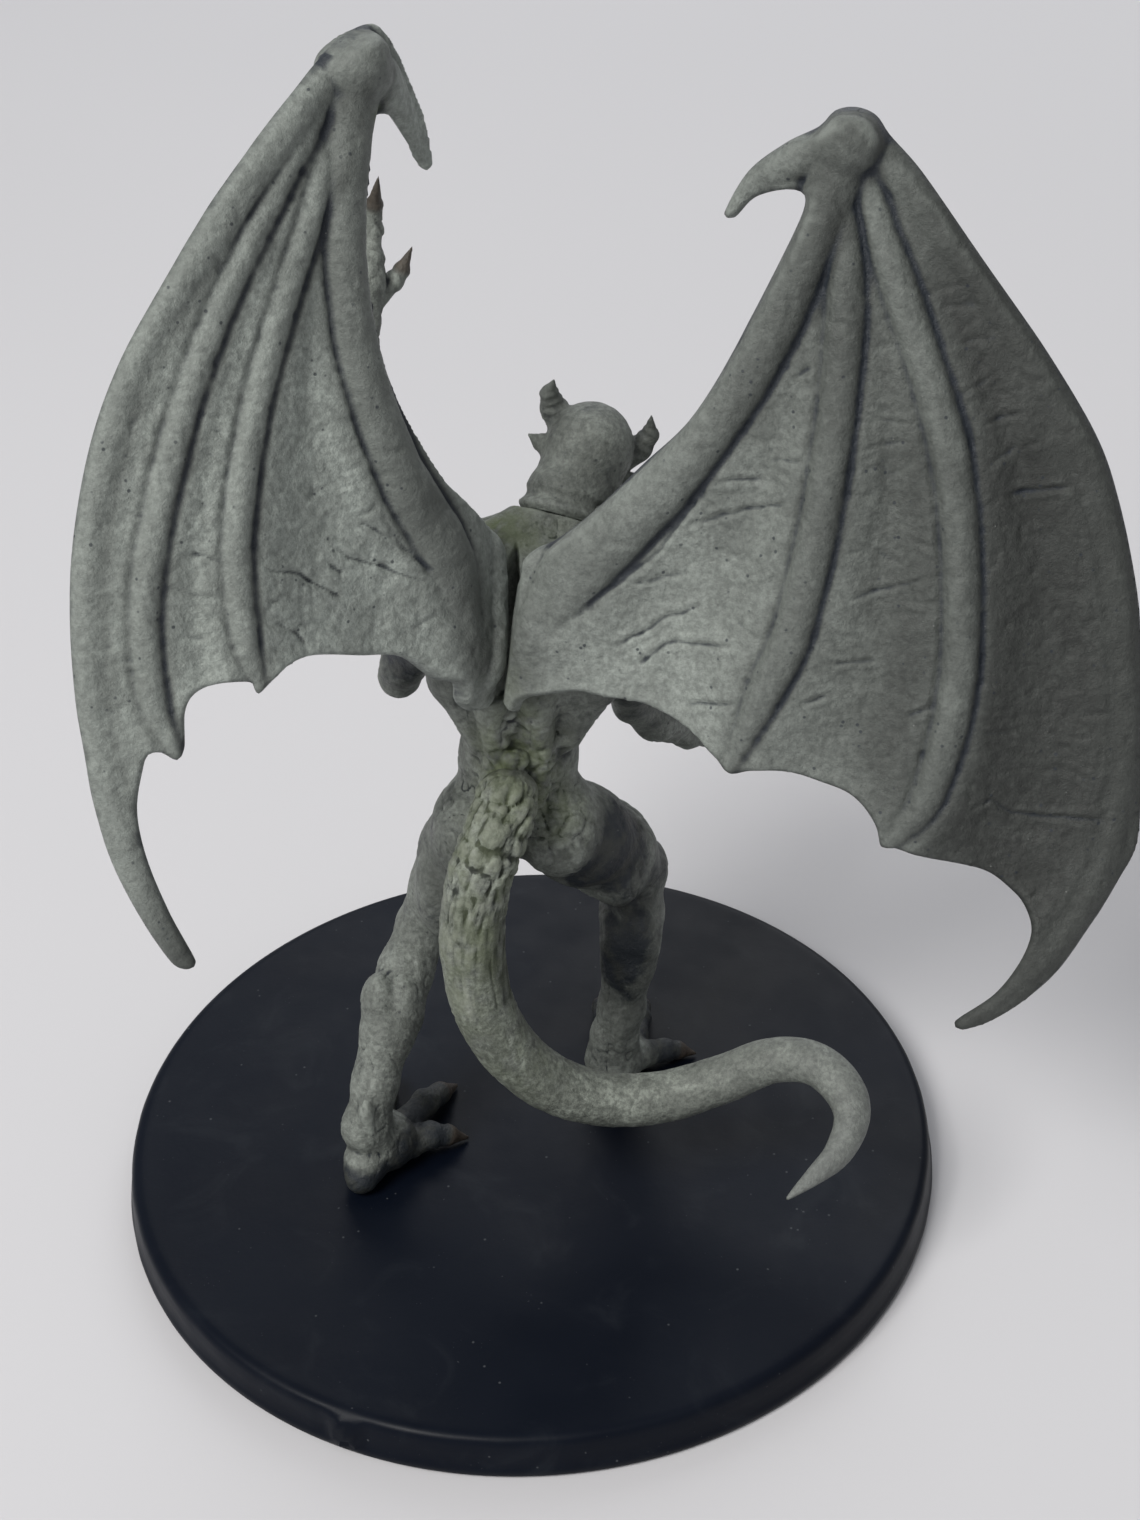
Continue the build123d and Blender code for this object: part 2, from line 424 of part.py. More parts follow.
# ---------------------------------------------------------------- wings
with BuildPart() as right_wing:
    add(wing(right_surface, -1, right_outline, right_bones, right_wing_peg))
right_wing.part.label = "right_wing"
with BuildPart() as left_wing:
    add(wing(left_surface, 1, left_outline, left_bones, left_wing_peg))
left_wing.part.label = "left_wing"

# ---------------------------------------------------------------- tail
with BuildPart() as tail:
    add(tapered(tail_line))
    with BuildSketch(Plane.XZ.offset(-tail_seat_y)):
        Rectangle(80, 120)
    extrude(amount=12, mode=Mode.SUBTRACT)
    with BuildSketch(Plane.XZ.offset(-tail_seat_y - 0.3)):
        with Locations(tail_seat_centre):
            Circle(tail_peg_radius)
    extrude(amount=tail_peg_depth + 0.3)
tail.part.label = "tail"

for piece in (base_disc, torso, head, left_leg, right_leg, upper_left_arm, upper_right_arm,
              lower_left_arm, lower_right_arm, left_wing, right_wing, tail):
    export_step(piece.part, "parts/" + piece.part.label + ".step")
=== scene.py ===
import bpy
import math
import numpy as np
from mathutils import Matrix, Vector


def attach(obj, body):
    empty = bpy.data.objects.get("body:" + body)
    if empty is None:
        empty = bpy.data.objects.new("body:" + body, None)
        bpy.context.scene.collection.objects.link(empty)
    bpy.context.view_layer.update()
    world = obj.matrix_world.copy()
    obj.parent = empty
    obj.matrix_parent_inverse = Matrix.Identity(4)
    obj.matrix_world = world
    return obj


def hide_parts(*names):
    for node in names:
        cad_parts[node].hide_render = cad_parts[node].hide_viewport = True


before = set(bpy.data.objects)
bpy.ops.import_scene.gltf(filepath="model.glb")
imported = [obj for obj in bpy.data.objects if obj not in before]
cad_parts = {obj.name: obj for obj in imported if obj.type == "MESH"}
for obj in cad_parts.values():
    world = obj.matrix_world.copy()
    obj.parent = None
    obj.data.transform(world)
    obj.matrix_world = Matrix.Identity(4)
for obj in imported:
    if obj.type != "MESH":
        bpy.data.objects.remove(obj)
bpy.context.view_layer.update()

MM = 0.001
rng = np.random.default_rng(11)


# ------------------------------------------------------------------ numeric noise
def _hash(ix, iy, iz, seed):
    n = (ix * 374761393 + iy * 668265263 + iz * 1442695041 + seed * 974634777) & 0xFFFFFFFF
    n = ((n ^ (n >> 13)) * 1274126177) & 0xFFFFFFFF
    n = n ^ (n >> 16)
    return (n & 0xFFFF) / 65535.0


def vnoise(p, freq, seed=0):
    """Smooth value noise, 0..1, of an (n, 3) array of points in mm."""
    q = p * freq
    i = np.floor(q).astype(np.int64)
    f = q - i
    f = f * f * (3 - 2 * f)
    out = 0.0
    for dx in (0, 1):
        wx = f[:, 0] if dx else 1 - f[:, 0]
        for dy in (0, 1):
            wy = f[:, 1] if dy else 1 - f[:, 1]
            for dz in (0, 1):
                wz = f[:, 2] if dz else 1 - f[:, 2]
                out = out + wx * wy * wz * _hash(i[:, 0] + dx, i[:, 1] + dy, i[:, 2] + dz, seed)
    return out


def fbm(p, freq, seed=0, octaves=3):
    total, amp, norm = 0.0, 1.0, 0.0
    for o in range(octaves):
        total = total + amp * vnoise(p, freq * 2 ** o, seed + o * 17)
        norm += amp
        amp *= 0.5
    return total / norm


def worley(p, freq, seed=0, jitter=0.8):
    """Nearest and second nearest cell distance of points in mm."""
    q = p * freq
    i = np.floor(q).astype(np.int64)
    f1 = np.full(len(p), 9.0)
    f2 = np.full(len(p), 9.0)
    for dx in (-1, 0, 1):
        for dy in (-1, 0, 1):
            for dz in (-1, 0, 1):
                cx, cy, cz = i[:, 0] + dx, i[:, 1] + dy, i[:, 2] + dz
                px = cx + 0.5 + jitter * (_hash(cx, cy, cz, seed) - 0.5)
                py = cy + 0.5 + jitter * (_hash(cx, cy, cz, seed + 5) - 0.5)
                pz = cz + 0.5 + jitter * (_hash(cx, cy, cz, seed + 9) - 0.5)
                d = np.sqrt((q[:, 0] - px) ** 2 + (q[:, 1] - py) ** 2 + (q[:, 2] - pz) ** 2)
                f2 = np.minimum(f2, np.maximum(f1, d))
                f1 = np.minimum(f1, d)
    return f1, f2


# ------------------------------------------------------------------ sculpting with distance fields
def unit(v):
    v = np.asarray(v, float)
    return v / np.linalg.norm(v)


def cone(a, b, ra, rb, k=0.5, op=1):
    a, b = np.asarray(a, float), np.asarray(b, float)
    ba = b - a
    l2 = max(float(ba @ ba), 1e-9)

    def dist(X, Y, Z):
        x, y, z = X - a[0], Y - a[1], Z - a[2]
        t = np.clip((x * ba[0] + y * ba[1] + z * ba[2]) / l2, 0, 1)
        return np.sqrt((x - t * ba[0]) ** 2 + (y - t * ba[1]) ** 2 + (z - t * ba[2]) ** 2) - (ra + (rb - ra) * t)

    r = max(ra, rb)
    return dict(lo=np.minimum(a, b) - r, hi=np.maximum(a, b) + r, f=dist, k=k, op=op)


def ell(c, r, k=0.5, op=1, frame3=None):
    """An ellipsoid; frame3 holds its three axes as rows."""
    c, r = np.asarray(c, float), np.asarray(r, float)
    m = np.eye(3) if frame3 is None else np.asarray(frame3, float)

    def dist(X, Y, Z):
        x, y, z = X - c[0], Y - c[1], Z - c[2]
        q = [(x * m[i, 0] + y * m[i, 1] + z * m[i, 2]) for i in range(3)]
        k0 = np.sqrt((q[0] / r[0]) ** 2 + (q[1] / r[1]) ** 2 + (q[2] / r[2]) ** 2)
        k1 = np.sqrt((q[0] / r[0] ** 2) ** 2 + (q[1] / r[1] ** 2) ** 2 + (q[2] / r[2] ** 2) ** 2) + 1e-6
        return k0 * (k0 - 1) / k1

    big = float(r.max())
    return dict(lo=c - big, hi=c + big, f=dist, k=k, op=op)


def chain(stations, k=0.5, op=1):
    return [cone(p[:3], q[:3], p[3], q[3], k, op) for p, q in zip(stations[:-1], stations[1:])]


def smin(a, b, k):
    h = np.maximum(k - np.abs(a - b), 0) / k
    return np.minimum(a, b) - h * h * k * 0.25


def smax(a, b, k):
    return -smin(-a, -b, k)


class Field:
    def __init__(self, lo, hi, h):
        self.lo, self.h = np.asarray(lo, float), h
        self.n = np.ceil((np.asarray(hi) - self.lo) / h).astype(int) + 1
        self.axes = [(self.lo[i] + h * np.arange(self.n[i])).astype(np.float32) for i in range(3)]

    def empty(self):
        return np.full(self.n, 6.0, np.float32)

    def grids(self):
        return (self.axes[0][:, None, None], self.axes[1][None, :, None], self.axes[2][None, None, :])

    def carve(self, d, prims, margin=1.6):
        for p in prims:
            m = margin if p["op"] > 0 else 0.4
            sl = []
            for i in range(3):
                a = max(0, int((p["lo"][i] - m - self.lo[i]) / self.h))
                b = min(self.n[i], int((p["hi"][i] + m - self.lo[i]) / self.h) + 2)
                sl.append(slice(a, b))
            if any(s.start >= s.stop for s in sl):
                continue
            X, Y, Z = self.axes[0][sl[0]][:, None, None], self.axes[1][sl[1]][None, :, None], self.axes[2][sl[2]][None, None, :]
            v = p["f"](X, Y, Z).astype(np.float32)
            cur = d[sl[0], sl[1], sl[2]]
            d[sl[0], sl[1], sl[2]] = smin(cur, v, p["k"]) if p["op"] > 0 else smax(cur, -v, p["k"])
        return d

    def mesh(self, d):
        """Surface nets: quads round the zero level of the field."""
        d = d.copy()
        for ax in range(3):
            idx = [slice(None)] * 3
            for e in (0, -1):
                idx[ax] = e
                d[tuple(idx)] = np.maximum(d[tuple(idx)], 0.05)
        s = d < 0
        nx, ny, nz = d.shape
        count = np.zeros((nx - 1, ny - 1, nz - 1), np.int8)
        offs = [(i, j, k) for i in (0, 1) for j in (0, 1) for k in (0, 1)]

        def at(a, o):
            return a[o[0]:nx - 1 + o[0], o[1]:ny - 1 + o[1], o[2]:nz - 1 + o[2]]

        for o in offs:
            count += at(s, o)
        act = (count > 0) & (count < 8)
        cells = np.argwhere(act)
        ids = np.full(act.shape, -1, np.int64)
        ids[act] = np.arange(len(cells))
        pos = np.zeros((len(cells), 3))
        num = np.zeros(len(cells))
        for o in offs:
            for ax in range(3):
                if o[ax] == 1:
                    continue
                o2 = list(o)
                o2[ax] = 1
                ca, cb = cells + np.array(o), cells + np.array(o2)
                da = d[ca[:, 0], ca[:, 1], ca[:, 2]].astype(float)
                db = d[cb[:, 0], cb[:, 1], cb[:, 2]].astype(float)
                m = (da < 0) != (db < 0)
                t = np.where(m, da / np.where(m, da - db, 1), 0)
                pt = np.tile(np.array(o, float), (len(cells), 1))
                pt[:, ax] += t
                pos += pt * m[:, None]
                num += m
        verts = self.lo + (cells + pos / num[:, None]) * self.h
        quads = []
        for ax in range(3):
            a1, a2 = (ax + 1) % 3, (ax + 2) % 3
            sa = [slice(None)] * 3
            sb = [slice(None)] * 3
            sa[ax], sb[ax] = slice(0, -1), slice(1, None)
            A, B = s[tuple(sa)], s[tuple(sb)]
            e = np.argwhere(A != B)
            e = e[(e[:, a1] > 0) & (e[:, a2] > 0) & (e[:, a1] < d.shape[a1] - 1) & (e[:, a2] < d.shape[a2] - 1)]
            inside_low = A[e[:, 0], e[:, 1], e[:, 2]]
            q = []
            for u, v in ((-1, -1), (0, -1), (0, 0), (-1, 0)):
                c = e.copy()
                c[:, a1] += u
                c[:, a2] += v
                q.append(ids[c[:, 0], c[:, 1], c[:, 2]])
            q = np.stack(q, 1)
            q[~inside_low] = q[~inside_low][:, ::-1]
            quads.append(q)
        quads = np.concatenate(quads)
        return verts, quads[(quads >= 0).all(1)]


def edges_of(faces):
    e = np.concatenate([faces[:, [i, (i + 1) % faces.shape[1]]] for i in range(faces.shape[1])])
    e = np.sort(e, axis=1)
    return np.unique(e[e[:, 0] != e[:, 1]], axis=0)


def normals_of(v, f):
    if f.shape[1] == 4:
        n = np.cross(v[f[:, 2]] - v[f[:, 0]], v[f[:, 3]] - v[f[:, 1]])
    else:
        n = np.cross(v[f[:, 1]] - v[f[:, 0]], v[f[:, 2]] - v[f[:, 0]])
    out = np.zeros_like(v)
    for i in range(f.shape[1]):
        for a in range(3):
            out[:, a] += np.bincount(f[:, i], weights=n[:, a], minlength=len(v))
    return out / (np.linalg.norm(out, axis=1, keepdims=True) + 1e-12)


def relaxed(v, e, n, amount=0.6):
    deg = np.bincount(e[:, 0], minlength=len(v)) + np.bincount(e[:, 1], minlength=len(v))
    for _ in range(n):
        s = np.zeros_like(v)
        for a in range(3):
            s[:, a] = np.bincount(e[:, 0], weights=v[e[:, 1], a], minlength=len(v)) + np.bincount(e[:, 1], weights=v[e[:, 0], a], minlength=len(v))
        v = v + amount * (s / np.maximum(deg, 1)[:, None] - v)
    return v


def spread(x, e, n):
    deg = np.bincount(e[:, 0], minlength=len(x)) + np.bincount(e[:, 1], minlength=len(x))
    for _ in range(n):
        x = 0.5 * x + 0.5 * (np.bincount(e[:, 0], weights=x[e[:, 1]], minlength=len(x)) + np.bincount(e[:, 1], weights=x[e[:, 0]], minlength=len(x))) / np.maximum(deg, 1)
    return x


def cavity(v, f, e):
    """Positive in hollows, negative on ridges, in mm; a fine and a broad scale."""
    n = normals_of(v, f)
    fine = ((relaxed(v, e, 3) - v) * n).sum(1)
    broad = ((relaxed(v, e, 18) - v) * n).sum(1)
    return spread(fine, e, 1), spread(broad, e, 2)


def make(name, v, f, attrs=None, smooth=True):
    me = bpy.data.meshes.new(name)
    me.from_pydata((v * MM).tolist(), [], f.tolist())
    me.update()
    me.polygons.foreach_set("use_smooth", [smooth] * len(me.polygons))
    for key, val in (attrs or {}).items():
        a = me.attributes.new(key, "FLOAT", "POINT")
        a.data.foreach_set("value", np.asarray(val, np.float32))
    ob = bpy.data.objects.new(name, me)
    bpy.context.scene.collection.objects.link(ob)
    return ob


def body_wash_and_painted_shade(v, n):
    """Darker paint: black wash left heavy on the right leg and in patches on the back; the feet and toes low by the
    base darkened, part dark wash and part painted shade; painted shade on the torso's sides beside the lower arms; the
    head darker overall.
    """
    g = 1.3 * gauss(v, (-6.2, -2.0, 14.6), (1.6, 3.5, 4.6))
    for c in ((-5.2, -0.3, 24.6), (-6.7, -1.2, 23.3), (-6.0, -0.8, 21.7), (-4.2, 0.6, 22.6)):
        g = g + 1.6 * gauss(v, c, (1.3, 1.8, 1.25))
    g = g + 0.6 * gauss(v, (-7.8, -4.0, 19.0), (1.8, 2.5, 1.5))
    g = g + 0.5 * gauss(v, (3.6, -0.2, 21.8), (2.0, 3.0, 4.2))
    # the feet and toes low by the base: part dark wash, part painted shade
    g = g + 1.4 * np.clip((5.0 - v[:, 2]) / 0.9, 0, 1) * (v[:, 0] > 0)
    g = g + 1.5 * np.clip((8.6 - v[:, 0]) / 0.8, 0, 1) * np.clip((5.9 - v[:, 2]) / 0.6, 0, 1) * (v[:, 0] > 1)
    far = np.sqrt((v[:, 0] + 5.7) ** 2 + (v[:, 1] + 3.0) ** 2)
    g = g + 1.0 * np.clip((far - 1.9) / 0.8, 0, 1) * (v[:, 2] < 5.6) * (v[:, 0] < 0)
    # painted shade on the torso's sides beside the lower arms
    g = g + 0.95 * gauss(v, (-9.0, -2.0, 33.0), (3.5, 6.0, 4.0)) + 0.9 * gauss(v, (7.5, -4.0, 34.5), (3.2, 6.0, 3.2))
    blot = np.clip((fbm(v, 0.55, 61, 3) - 0.52) * 7, 0, 1)
    g = g + 0.5 * blot * gauss(v, (-1.8, 1.5, 27.5), (5.0, 4.5, 6.5)) + 0.1 * blot
    g = g + 0.22 * gauss(v, (-5.3, -7.9, 45.0), (4.5, 4.5, 4.5)) + 0.5 * gauss(v, (-3.5, -9.0, 48.0), (1.2, 1.2, 1.2)) + 0.5 * gauss(v, (-8.6, -8.6, 45.4), (1.0, 1.2, 1.6))
    return g + 0.10


def finish_sculpt(name, v, f, detail=1.0, claws=None, moss=None, extra=None):
    """Skin detail as real relief, then the paint masks."""
    e = edges_of(f)
    v = relaxed(v, e, 1, 0.4)
    n = normals_of(v, f)
    wrinkle = fbm(v * np.array([1, 1, 0.55]), 1.3, 3, 3) - 0.5
    ridged = 1 - np.abs(2 * vnoise(v * np.array([1, 1, 0.7]), 1.7, 21) - 1)
    patch = np.clip(vnoise(v, 0.35, 8) * 2 - 0.6, 0, 1)
    rel = 0.13 * wrinkle - 0.09 * np.clip(ridged - 0.82, 0, 1) / 0.18 * patch
    rel = rel + 0.02 * (vnoise(v, 7.0, 30) - 0.5)
    amount = detail * np.ones(len(v))
    claw = np.zeros(len(v))
    for a, b, r in (claws or []):
        a, b = np.asarray(a, float), np.asarray(b, float)
        ba = b - a
        t = np.clip(((v - a) @ ba) / (ba @ ba), -0.2, 1)
        dd = np.linalg.norm(v - a - np.outer(t, ba), axis=1)
        claw = np.maximum(claw, np.clip((t + 0.12) * 5, 0, 1) * (dd < r * 1.5 + 0.12))
    amount = amount * (1 - 0.8 * claw)
    v = v + n * (rel * amount)[:, None]
    if extra is not None:
        v = v + n * extra(v, n)[:, None]
    fine, broad = cavity(v, f, e)
    attrs = dict(cav=fine * 24, broad=broad * 9, claw=spread(claw, e, 1))
    attrs["moss"] = np.zeros(len(v)) if moss is None else moss(v, n)
    attrs["grime_and_painted_shading"] = body_wash_and_painted_shade(v, n)
    return make(name, v, f, attrs)


# ------------------------------------------------------------------ figure, in mm
NECK_DIR = unit([-0.30, -0.55, 0.78])
NECK = np.array([-3.75, -5.6, 43.3]) - 1.1 * NECK_DIR
SPINE_X = 0.3
SURF = {"right": (-6.6083, 0.3196, 0.7569, 0.0133), "left": (-6.8025, 0.3103, 1.2151, 0.0307)}
SIGN = {"right": -1, "left": 1}
WING_PEG = {"right": (-2.3, 40.3), "left": (2.3, 40.3)}
BASE_TOP = 2.77


def wing_y(side, X, Z):
    y0, lean, sweep, cup = SURF[side]
    u = (X - SPINE_X) * SIGN[side]
    return y0 + lean * (66 - Z) + sweep * u - cup * u * u, u


G = {}
ax_t = unit([0.12, 0.1, 1])
G["torso"] = [
    ell((-0.2, -1.2, 26.0), (3.9, 2.9, 2.9), 1.0), ell((-0.5, -1.3, 29.2), (3.4, 2.6, 3.2), 1.2),
    ell((-0.8, -1.1, 32.2), (3.3, 2.6, 3.3), 1.2), ell((-1.3, -2.0, 36.2), (4.9, 3.9, 4.6), 1.2),
    ell((-1.8, -3.0, 39.6), (5.6, 3.7, 3.0), 1.2),
]
G["torso"] += chain([(3.1, -0.7, 39.0, 1.7), (2.6, 0.2, 36.0, 1.4), (1.6, 0.5, 32.2, 0.8)], 0.8)
G["torso"] += chain([(-6.0, -1.1, 38.6, 1.7), (-5.2, 0.0, 35.6, 1.4), (-3.4, 0.4, 32.0, 0.8)], 0.8)
G["torso"] += chain([(0.75, 0.7, 27.6, 0.8), (0.6, 1.0, 31.0, 0.85), (0.9, 1.5, 35.0, 0.9), (0.6, 0.6, 39.0, 0.9)], 0.35)
G["torso"] += chain([(-1.35, 0.7, 27.4, 0.8), (-1.7, 1.0, 31.0, 0.85), (-1.7, 1.5, 35.0, 0.9), (-2.4, 0.6, 39.0, 0.9)], 0.35)
G["torso"] += [ell((2.3, 0.7, 25.6), (2.3, 2.2, 2.5), 0.7), ell((-2.6, 0.6, 25.2), (2.3, 2.2, 2.5), 0.7)]
# trapezius
G["torso"] += chain([(2.0, -3.4, 40.7, 1.75), (-0.6, -3.8, 41.5, 1.6), (-3.2, -5.0, 42.9, 1.7)], 0.8)
G["torso"] += chain([(-5.8, -4.0, 40.4, 1.8), (-4.6, -4.5, 41.6, 1.7), (-3.6, -5.2, 42.8, 1.7)], 0.8)
# chest and stomach
G["torso"] += [ell((0.7, -5.6, 39.3), (2.6, 1.5, 1.9), 0.4), ell((-4.3, -5.9, 38.8), (2.6, 1.5, 1.9), 0.4)]
for row, (z, y) in enumerate([(35.4, -5.45), (33.5, -4.75), (31.6, -3.45)]):
    for s in (-1, 1):
        G["torso"].append(ell((-1.2 + 0.1 * row + s * 0.95, y, z), (0.98, 0.6, 0.9), 0.45))
G["torso"].append(ell((-0.6, -3.8, 28.6), (1.7, 0.8, 1.7), 0.5))
for s, cx in ((1, 1.9), (-1, -4.4)):
    for j in range(4):
        z = 37.4 - j * 1.15
        G["torso"].append(ell((cx + s * (0.9 - 0.25 * j), -3.6 + 0.3 * j, z), (1.1, 0.8, 0.38), 0.2))
# collar bones and hollow of the throat
G["torso"] += chain([(-2.9, -6.6, 42.2, 0.3), (-0.6, -6.2, 42.0, 0.34), (1.6, -5.0, 42.0, 0.4)], 0.3)
G["torso"] += chain([(-3.5, -6.7, 42.1, 0.3), (-5.2, -6.4, 41.3, 0.34), (-6.3, -5.4, 40.9, 0.4)], 0.3)
# spine knobs climbing from the tail
for x, y, z, r in [(-0.35, 1.95, 31.55, 0.72), (0.35, 1.8, 32.5, 0.42), (-0.2, 1.55, 33.4, 0.42), (-0.15, 1.75, 34.4, 0.38)]:
    G["torso"].append(ell((x, y, z), (r, r * 0.8, r * 0.85), 0.16))
# shallow folds over the hips and waist
fold = [[(2.9, 0.9, 29.6), (1.4, 2.0, 29.0)], [(3.0, 0.4, 30.8), (1.7, 1.7, 30.6)], [(-3.2, 0.9, 29.4), (-1.6, 2.0, 28.9)],
        [(-3.4, 0.3, 30.6), (-2.0, 1.6, 30.3)], [(-3.3, 0.4, 32.8), (-2.2, 1.4, 32.4)], [(0.1, 2.9, 26.4), (0.0, 2.0, 24.0)],
        [(3.3, 1.9, 24.0), (1.2, 2.4, 23.5)], [(-3.7, 1.8, 23.6), (-1.6, 2.4, 23.2)]]
for a, b in fold:
    G["torso"].append(cone(a, b, 0.14, 0.10, 0.18, -1))


def leg_group(hip, knee_end, lines, muscles):
    g = []
    for l in lines:
        g += chain(l, 0.7)
    return g + muscles


G["left_leg"] = leg_group(None, None, [
    [(2.2, -0.6, 26.0, 2.2), (3.1, -1.4, 23.0, 2.3), (4.2, -2.6, 19.4, 2.0), (5.6, -3.2, 16.4, 1.6)],
    [(5.8, -3.2, 15.9, 1.5), (6.9, -1.2, 14.3, 1.6), (8.1, 1.4, 12.0, 1.55), (9.1, 3.0, 9.2, 1.3), (9.8, 3.7, 6.4, 1.4), (9.3, 3.2, 4.6, 1.8)]], [
    ell((4.2, -4.0, 20.2), (1.5, 1.4, 3.2), 0.7), ell((4.5, -0.5, 20.6), (1.3, 1.5, 3.0), 0.7), ell((2.5, 0.0, 22.4), (1.4, 1.6, 2.6), 0.8),
    ell((5.5, -4.5, 16.2), (0.9, 0.8, 1.0), 0.3),
    ell((8.4, 0.6, 13.2), (1.25, 1.5, 2.3), 0.35), ell((7.0, 0.6, 13.1), (1.15, 1.4, 2.1), 0.35),
    ell((9.0, 3.0, 4.5), (2.1, 1.9, 1.9), 0.4), ell((9.6, 4.6, 7.4), (0.6, 0.6, 2.0), 0.3)])
G["right_leg"] = leg_group(None, None, [
    [(-2.4, -0.9, 25.6, 2.5), (-3.8, -1.7, 23.4, 2.9), (-5.6, -3.5, 20.6, 2.7), (-7.1, -5.0, 18.2, 2.1)],
    [(-7.1, -5.1, 17.8, 1.8), (-6.9, -4.0, 15.4, 1.85), (-6.6, -3.2, 12.4, 1.6), (-6.1, -3.0, 8.8, 1.35), (-5.6, -3.0, 6.4, 1.4), (-5.5, -3.1, 4.5, 1.7)]], [
    ell((-5.8, -4.9, 21.0), (1.7, 2.2, 1.9), 0.8), ell((-6.0, -2.0, 20.0), (1.4, 1.8, 1.9), 0.7),
    ell((-7.6, -6.3, 18.0), (0.95, 0.8, 1.0), 0.3),
    ell((-7.4, -2.9, 14.4), (1.2, 1.4, 2.4), 0.35), ell((-6.0, -2.9, 14.0), (1.15, 1.3, 2.2), 0.35),
    ell((-5.5, -2.8, 4.6), (1.8, 1.7, 1.8), 0.4), ell((-5.8, -1.8, 7.8), (0.55, 0.6, 1.8), 0.3)])
TOES = {
    "left_leg": [
        [(9.2, 2.6, 4.3, 1.25), (7.6, 1.2, 4.0, 0.95), (6.4, -0.3, 4.25, 0.8), (5.5, -1.6, 3.75, 0.68), (4.5, -3.0, 3.0, 0.12)],
        [(9.5, 2.4, 4.3, 1.25), (9.3, 0.8, 4.0, 0.95), (9.0, -1.0, 4.3, 0.8), (8.8, -2.6, 3.8, 0.68), (8.6, -4.2, 3.0, 0.12)],
        [(9.0, 3.2, 4.3, 1.2), (7.4, 2.8, 3.9, 0.9), (6.2, 2.4, 4.1, 0.78), (5.1, 2.1, 3.7, 0.64), (3.9, 1.7, 3.0, 0.12)],
        [(9.7, 3.6, 4.6, 1.3), (10.0, 4.4, 4.2, 1.25), (10.2, 4.9, 4.0, 1.15), (10.3, 5.3, 3.8, 1.0)]],
    "right_leg": [
        [(-6.3, -3.2, 4.3, 1.2), (-7.8, -3.9, 3.9, 0.82), (-8.8, -4.2, 3.8, 0.68), (-9.7, -4.5, 3.45, 0.56), (-10.8, -4.6, 3.0, 0.12)],
        [(-6.2, -3.6, 4.3, 1.2), (-7.0, -5.6, 3.9, 0.88), (-7.4, -7.2, 3.95, 0.74), (-7.7, -8.8, 3.55, 0.6), (-8.0, -10.2, 3.0, 0.12)],
        [(-5.8, -3.6, 4.3, 1.2), (-5.5, -5.8, 3.9, 0.88), (-5.3, -7.4, 3.95, 0.74), (-5.1, -9.0, 3.55, 0.6), (-5.0, -10.4, 3.0, 0.12)],
        [(-5.8, -2.7, 4.6, 1.2), (-5.4, -1.8, 4.2, 1.0), (-5.1, -0.9, 3.5, 0.6), (-4.9, -0.3, 3.1, 0.15)]]}
